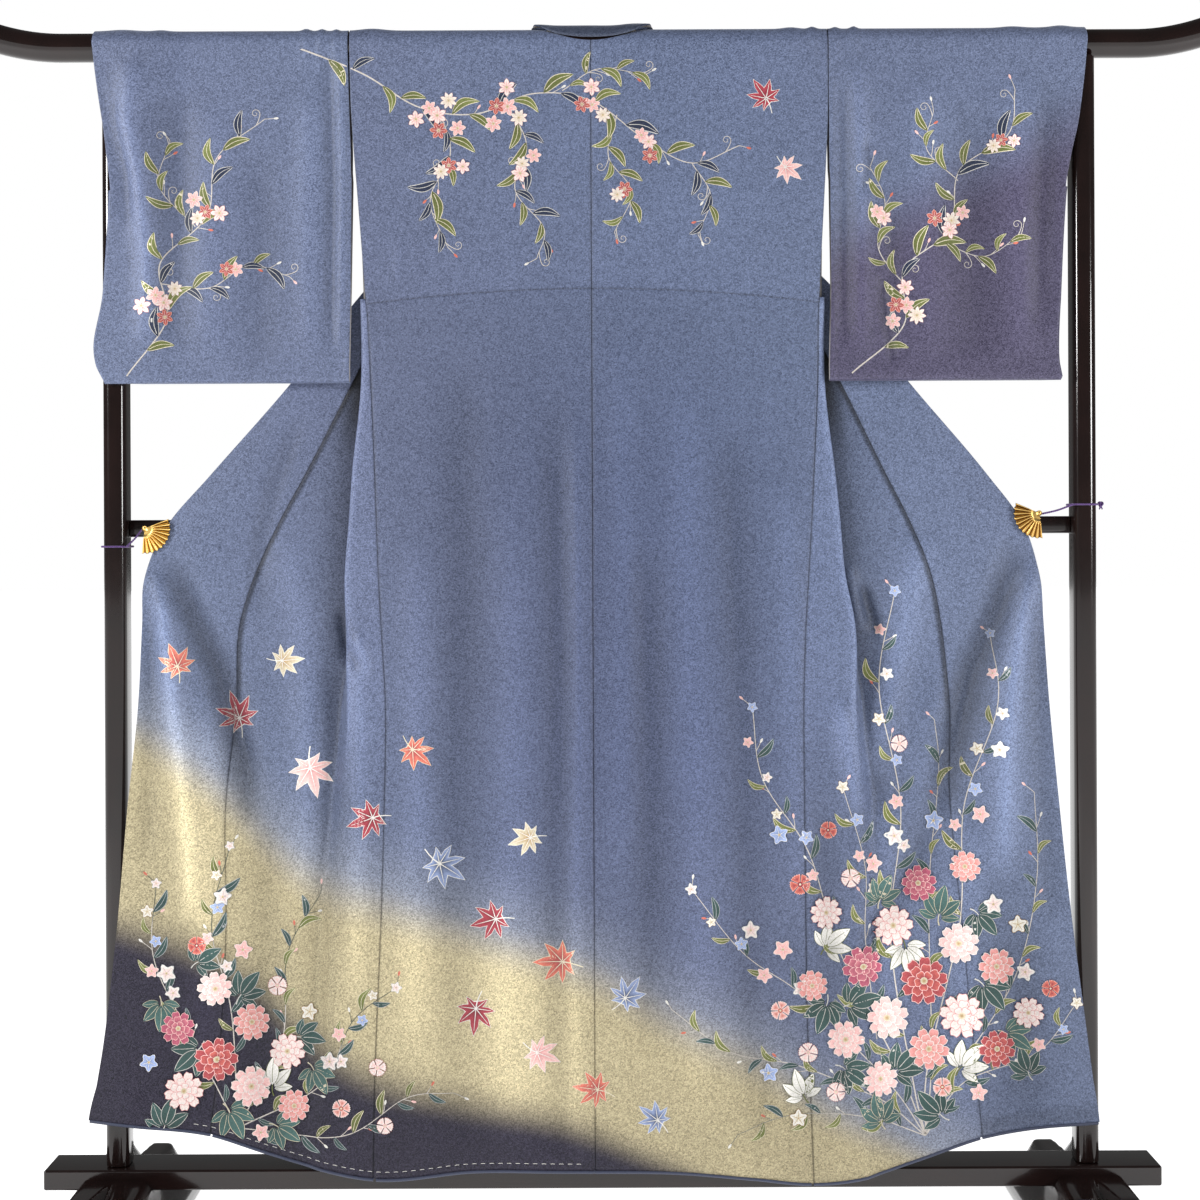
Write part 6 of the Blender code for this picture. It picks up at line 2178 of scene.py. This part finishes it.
def relief_of(sheets):
    """Depth of the nearest cloth at each cell of an upright grid: each sheet is read along its
    rows to even x, then down its columns to even z, and the least depth is kept. A gap
    one cell wide at a seam takes the mean of the cells beside it."""
    nearest = np.full((len(RELIEF_Z), len(RELIEF_X)), np.inf)
    for sheet in sheets:
        y = np.full((len(sheet), len(RELIEF_X)), np.nan)
        z = np.full_like(y, np.nan)
        for k, row in enumerate(sheet):
            row = row if row[-1, 0] > row[0, 0] else row[::-1]
            if row[-1, 0] - row[0, 0] < 0.05:
                continue
            y[k] = np.interp(RELIEF_X, row[:, 0], row[:, 1], left=np.nan, right=np.nan)
            z[k] = np.interp(RELIEF_X, row[:, 0], row[:, 2], left=np.nan, right=np.nan)
        for column in np.nonzero(np.isfinite(y).sum(axis=0) > 1)[0]:
            there = np.isfinite(y[:, column])
            depth, height = y[there, column], z[there, column]
            order = np.argsort(height)
            read = np.interp(RELIEF_Z, height[order], depth[order], left=np.inf, right=np.inf)
            nearest[:, column] = np.minimum(nearest[:, column], read)
    before, after = nearest[:, :-2], nearest[:, 2:]
    with np.errstate(invalid="ignore"):
        gap = ~np.isfinite(nearest[:, 1:-1]) & (np.abs(before - after) < STEP_IN_CLOTH)
    nearest[:, 1:-1][gap] = ((before + after) / 2)[gap]
    return nearest


def read_relief(relief, points):
    """Depth and its two slopes at points, mixed from the four cells round each. A point whose
    cells lie at unlike depths takes the nearest one's."""
    u = np.clip((points[:, 0] - RELIEF_X[0]) / CELL, 0, len(RELIEF_X) - 2.001)
    v = np.clip((points[:, 1] - RELIEF_Z[0]) / CELL, 0, len(RELIEF_Z) - 2.001)
    i, j = u.astype(int), v.astype(int)
    fu, fv = u - i, v - j
    a, b = relief[j, i], relief[j, i + 1]
    c, d = relief[j + 1, i], relief[j + 1, i + 1]
    corners = np.stack([a, b, c, d])
    weights = np.stack([(1 - fu) * (1 - fv), fu * (1 - fv), (1 - fu) * fv, fu * fv])
    there = np.isfinite(corners).all(axis=0)
    uneven = corners.max(axis=0) - corners.min(axis=0) > STEP_IN_CLOTH
    mixed = np.where(there, (np.where(np.isfinite(corners), corners, 0) * weights).sum(axis=0), np.nan)
    best = corners[weights.argmax(axis=0), np.arange(len(u))]
    depth = np.where(uneven, np.where(np.isfinite(best), best, np.nan), mixed)
    slope_x = np.where(uneven | ~there, 0, ((b - a) * (1 - fv) + (d - c) * fv) / CELL)
    slope_z = np.where(uneven | ~there, 0, ((c - a) * (1 - fu) + (d - b) * fu) / CELL)
    return depth, np.nan_to_num(slope_x), np.nan_to_num(slope_z)


def refined(drawing, relief, limit=0.7, slack=0.015):
    """The drawing with each triangle cut into four, up to three times, where a side is over the
    limit or a side's middle would lie off the cloth by more than the slack."""
    for _ in range(3):
        corners = drawing.points[drawing.triangles]
        sides = np.linalg.norm(corners - np.roll(corners, 1, axis=1), axis=-1).max(axis=1)
        depth = read_relief(relief, drawing.points)[0][drawing.triangles]
        middles = (corners + np.roll(corners, 1, axis=1)) / 2
        under = read_relief(relief, middles.reshape(-1, 2))[0].reshape(-1, 3)
        off = np.nan_to_num(np.abs(under - (depth + np.roll(depth, 1, axis=1)) / 2)).max(axis=1)
        cut_up = (sides > limit) | ((off > slack) & (sides > 0.15))
        long = drawing.triangles[cut_up]
        if not len(long):
            break
        base = len(drawing.points)
        halves = [(long[:, 0], long[:, 1]), (long[:, 1], long[:, 2]), (long[:, 2], long[:, 0])]
        points, layers, colours = ([part] for part in (drawing.points, drawing.layers, drawing.colours))
        for a, b in halves:
            points.append((drawing.points[a] + drawing.points[b]) / 2)
            layers.append((drawing.layers[a] + drawing.layers[b]) / 2)
            colours.append((drawing.colours[a] + drawing.colours[b]) / 2)
        ab, bc, ca = (base + np.arange(len(long)) + k * len(long) for k in range(3))
        cut = [(long[:, 0], ab, ca), (ab, long[:, 1], bc), (ca, bc, long[:, 2]), (ab, bc, ca)]
        triangles = [drawing.triangles[~cut_up]] + [np.stack(three, axis=-1) for three in cut]
        drawing = Stamp(*(np.concatenate(part) for part in (points, layers, colours, triangles)))
    return drawing


def painted_piece(name, stamps, relief, material):
    """A drawing laid on the cloth: each point goes to the relief's depth, then out along the
    cloth's normal by the wall's half thickness and its own layer. Triangles that fall off
    the cloth or across a step in it are left out."""
    drawing = refined(joined(stamps), relief)
    depth, slope_x, slope_z = read_relief(relief, drawing.points)
    normal = np.stack([slope_x, -np.ones(len(depth)), slope_z], axis=-1)
    normal /= np.linalg.norm(normal, axis=1)[:, None]
    reach = SHELL / 2 + 0.022 + 0.0042 * drawing.layers
    points = np.stack([drawing.points[:, 0], depth, drawing.points[:, 1]], axis=-1)
    points = points + normal * reach[:, None]
    corner = depth[drawing.triangles]
    steady = np.isfinite(corner).all(axis=1)
    steady &= np.nan_to_num(corner.max(axis=1) - corner.min(axis=1), nan=9.0) < 0.45
    triangles = drawing.triangles[steady]
    a, b, c = (drawing.points[triangles[:, k]] for k in range(3))
    backward = (b - a)[:, 0] * (c - a)[:, 1] < (b - a)[:, 1] * (c - a)[:, 0]
    triangles[backward] = triangles[backward][:, ::-1]
    used = np.unique(triangles)
    shade = fold_shade(drawing.points[:, 0], drawing.points[:, 1])
    piece = make_object(name, points, triangles, [material], drawing.colours * shade[:, None])
    piece.data.normals_split_custom_set_from_vertices(normal[used].tolist())
    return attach(piece, "root")


relief = relief_of(FRONT_FACES)
paint = crepe_material("painted_crepe", grain, 0.5, 0.5, 0.12, (1, 1, 1))
painted_piece("drawn_vines", vine_stamps(), relief, paint)
painted_piece("drawn_left_clump", clump_stamps(-1), relief, paint)
painted_piece("drawn_right_clump", clump_stamps(1), relief, paint)
painted_piece("drawn_maple_leaves", drift_stamps(), relief, paint)
painted_piece("basting_stitches", basting_stamps(), relief, paint)

# Making the stand and the clips

lacquer = lacquer_material()
gilt = gilt_material()
cord = cord_material()
rod_piece(lacquer)
crossbar_piece(lacquer)
plank_piece(lacquer)
for side in SIDES:
    post_piece(side, lacquer)
    foot_piece(side, lacquer)
    fan_piece(side, gilt)
    barrel_piece(side, gilt)
    jaw_piece(side, gilt)
    twisted_cord(f"tie_{side}_cord", tie_path(side), TIE_RADIUS, cord, [f"tie_{side}"], closed=True)
    twisted_cord(f"link_{side}_cord", link_path(side), TIE_RADIUS, cord, [f"link_{side}"])
knot_piece(cord)

set_stage()
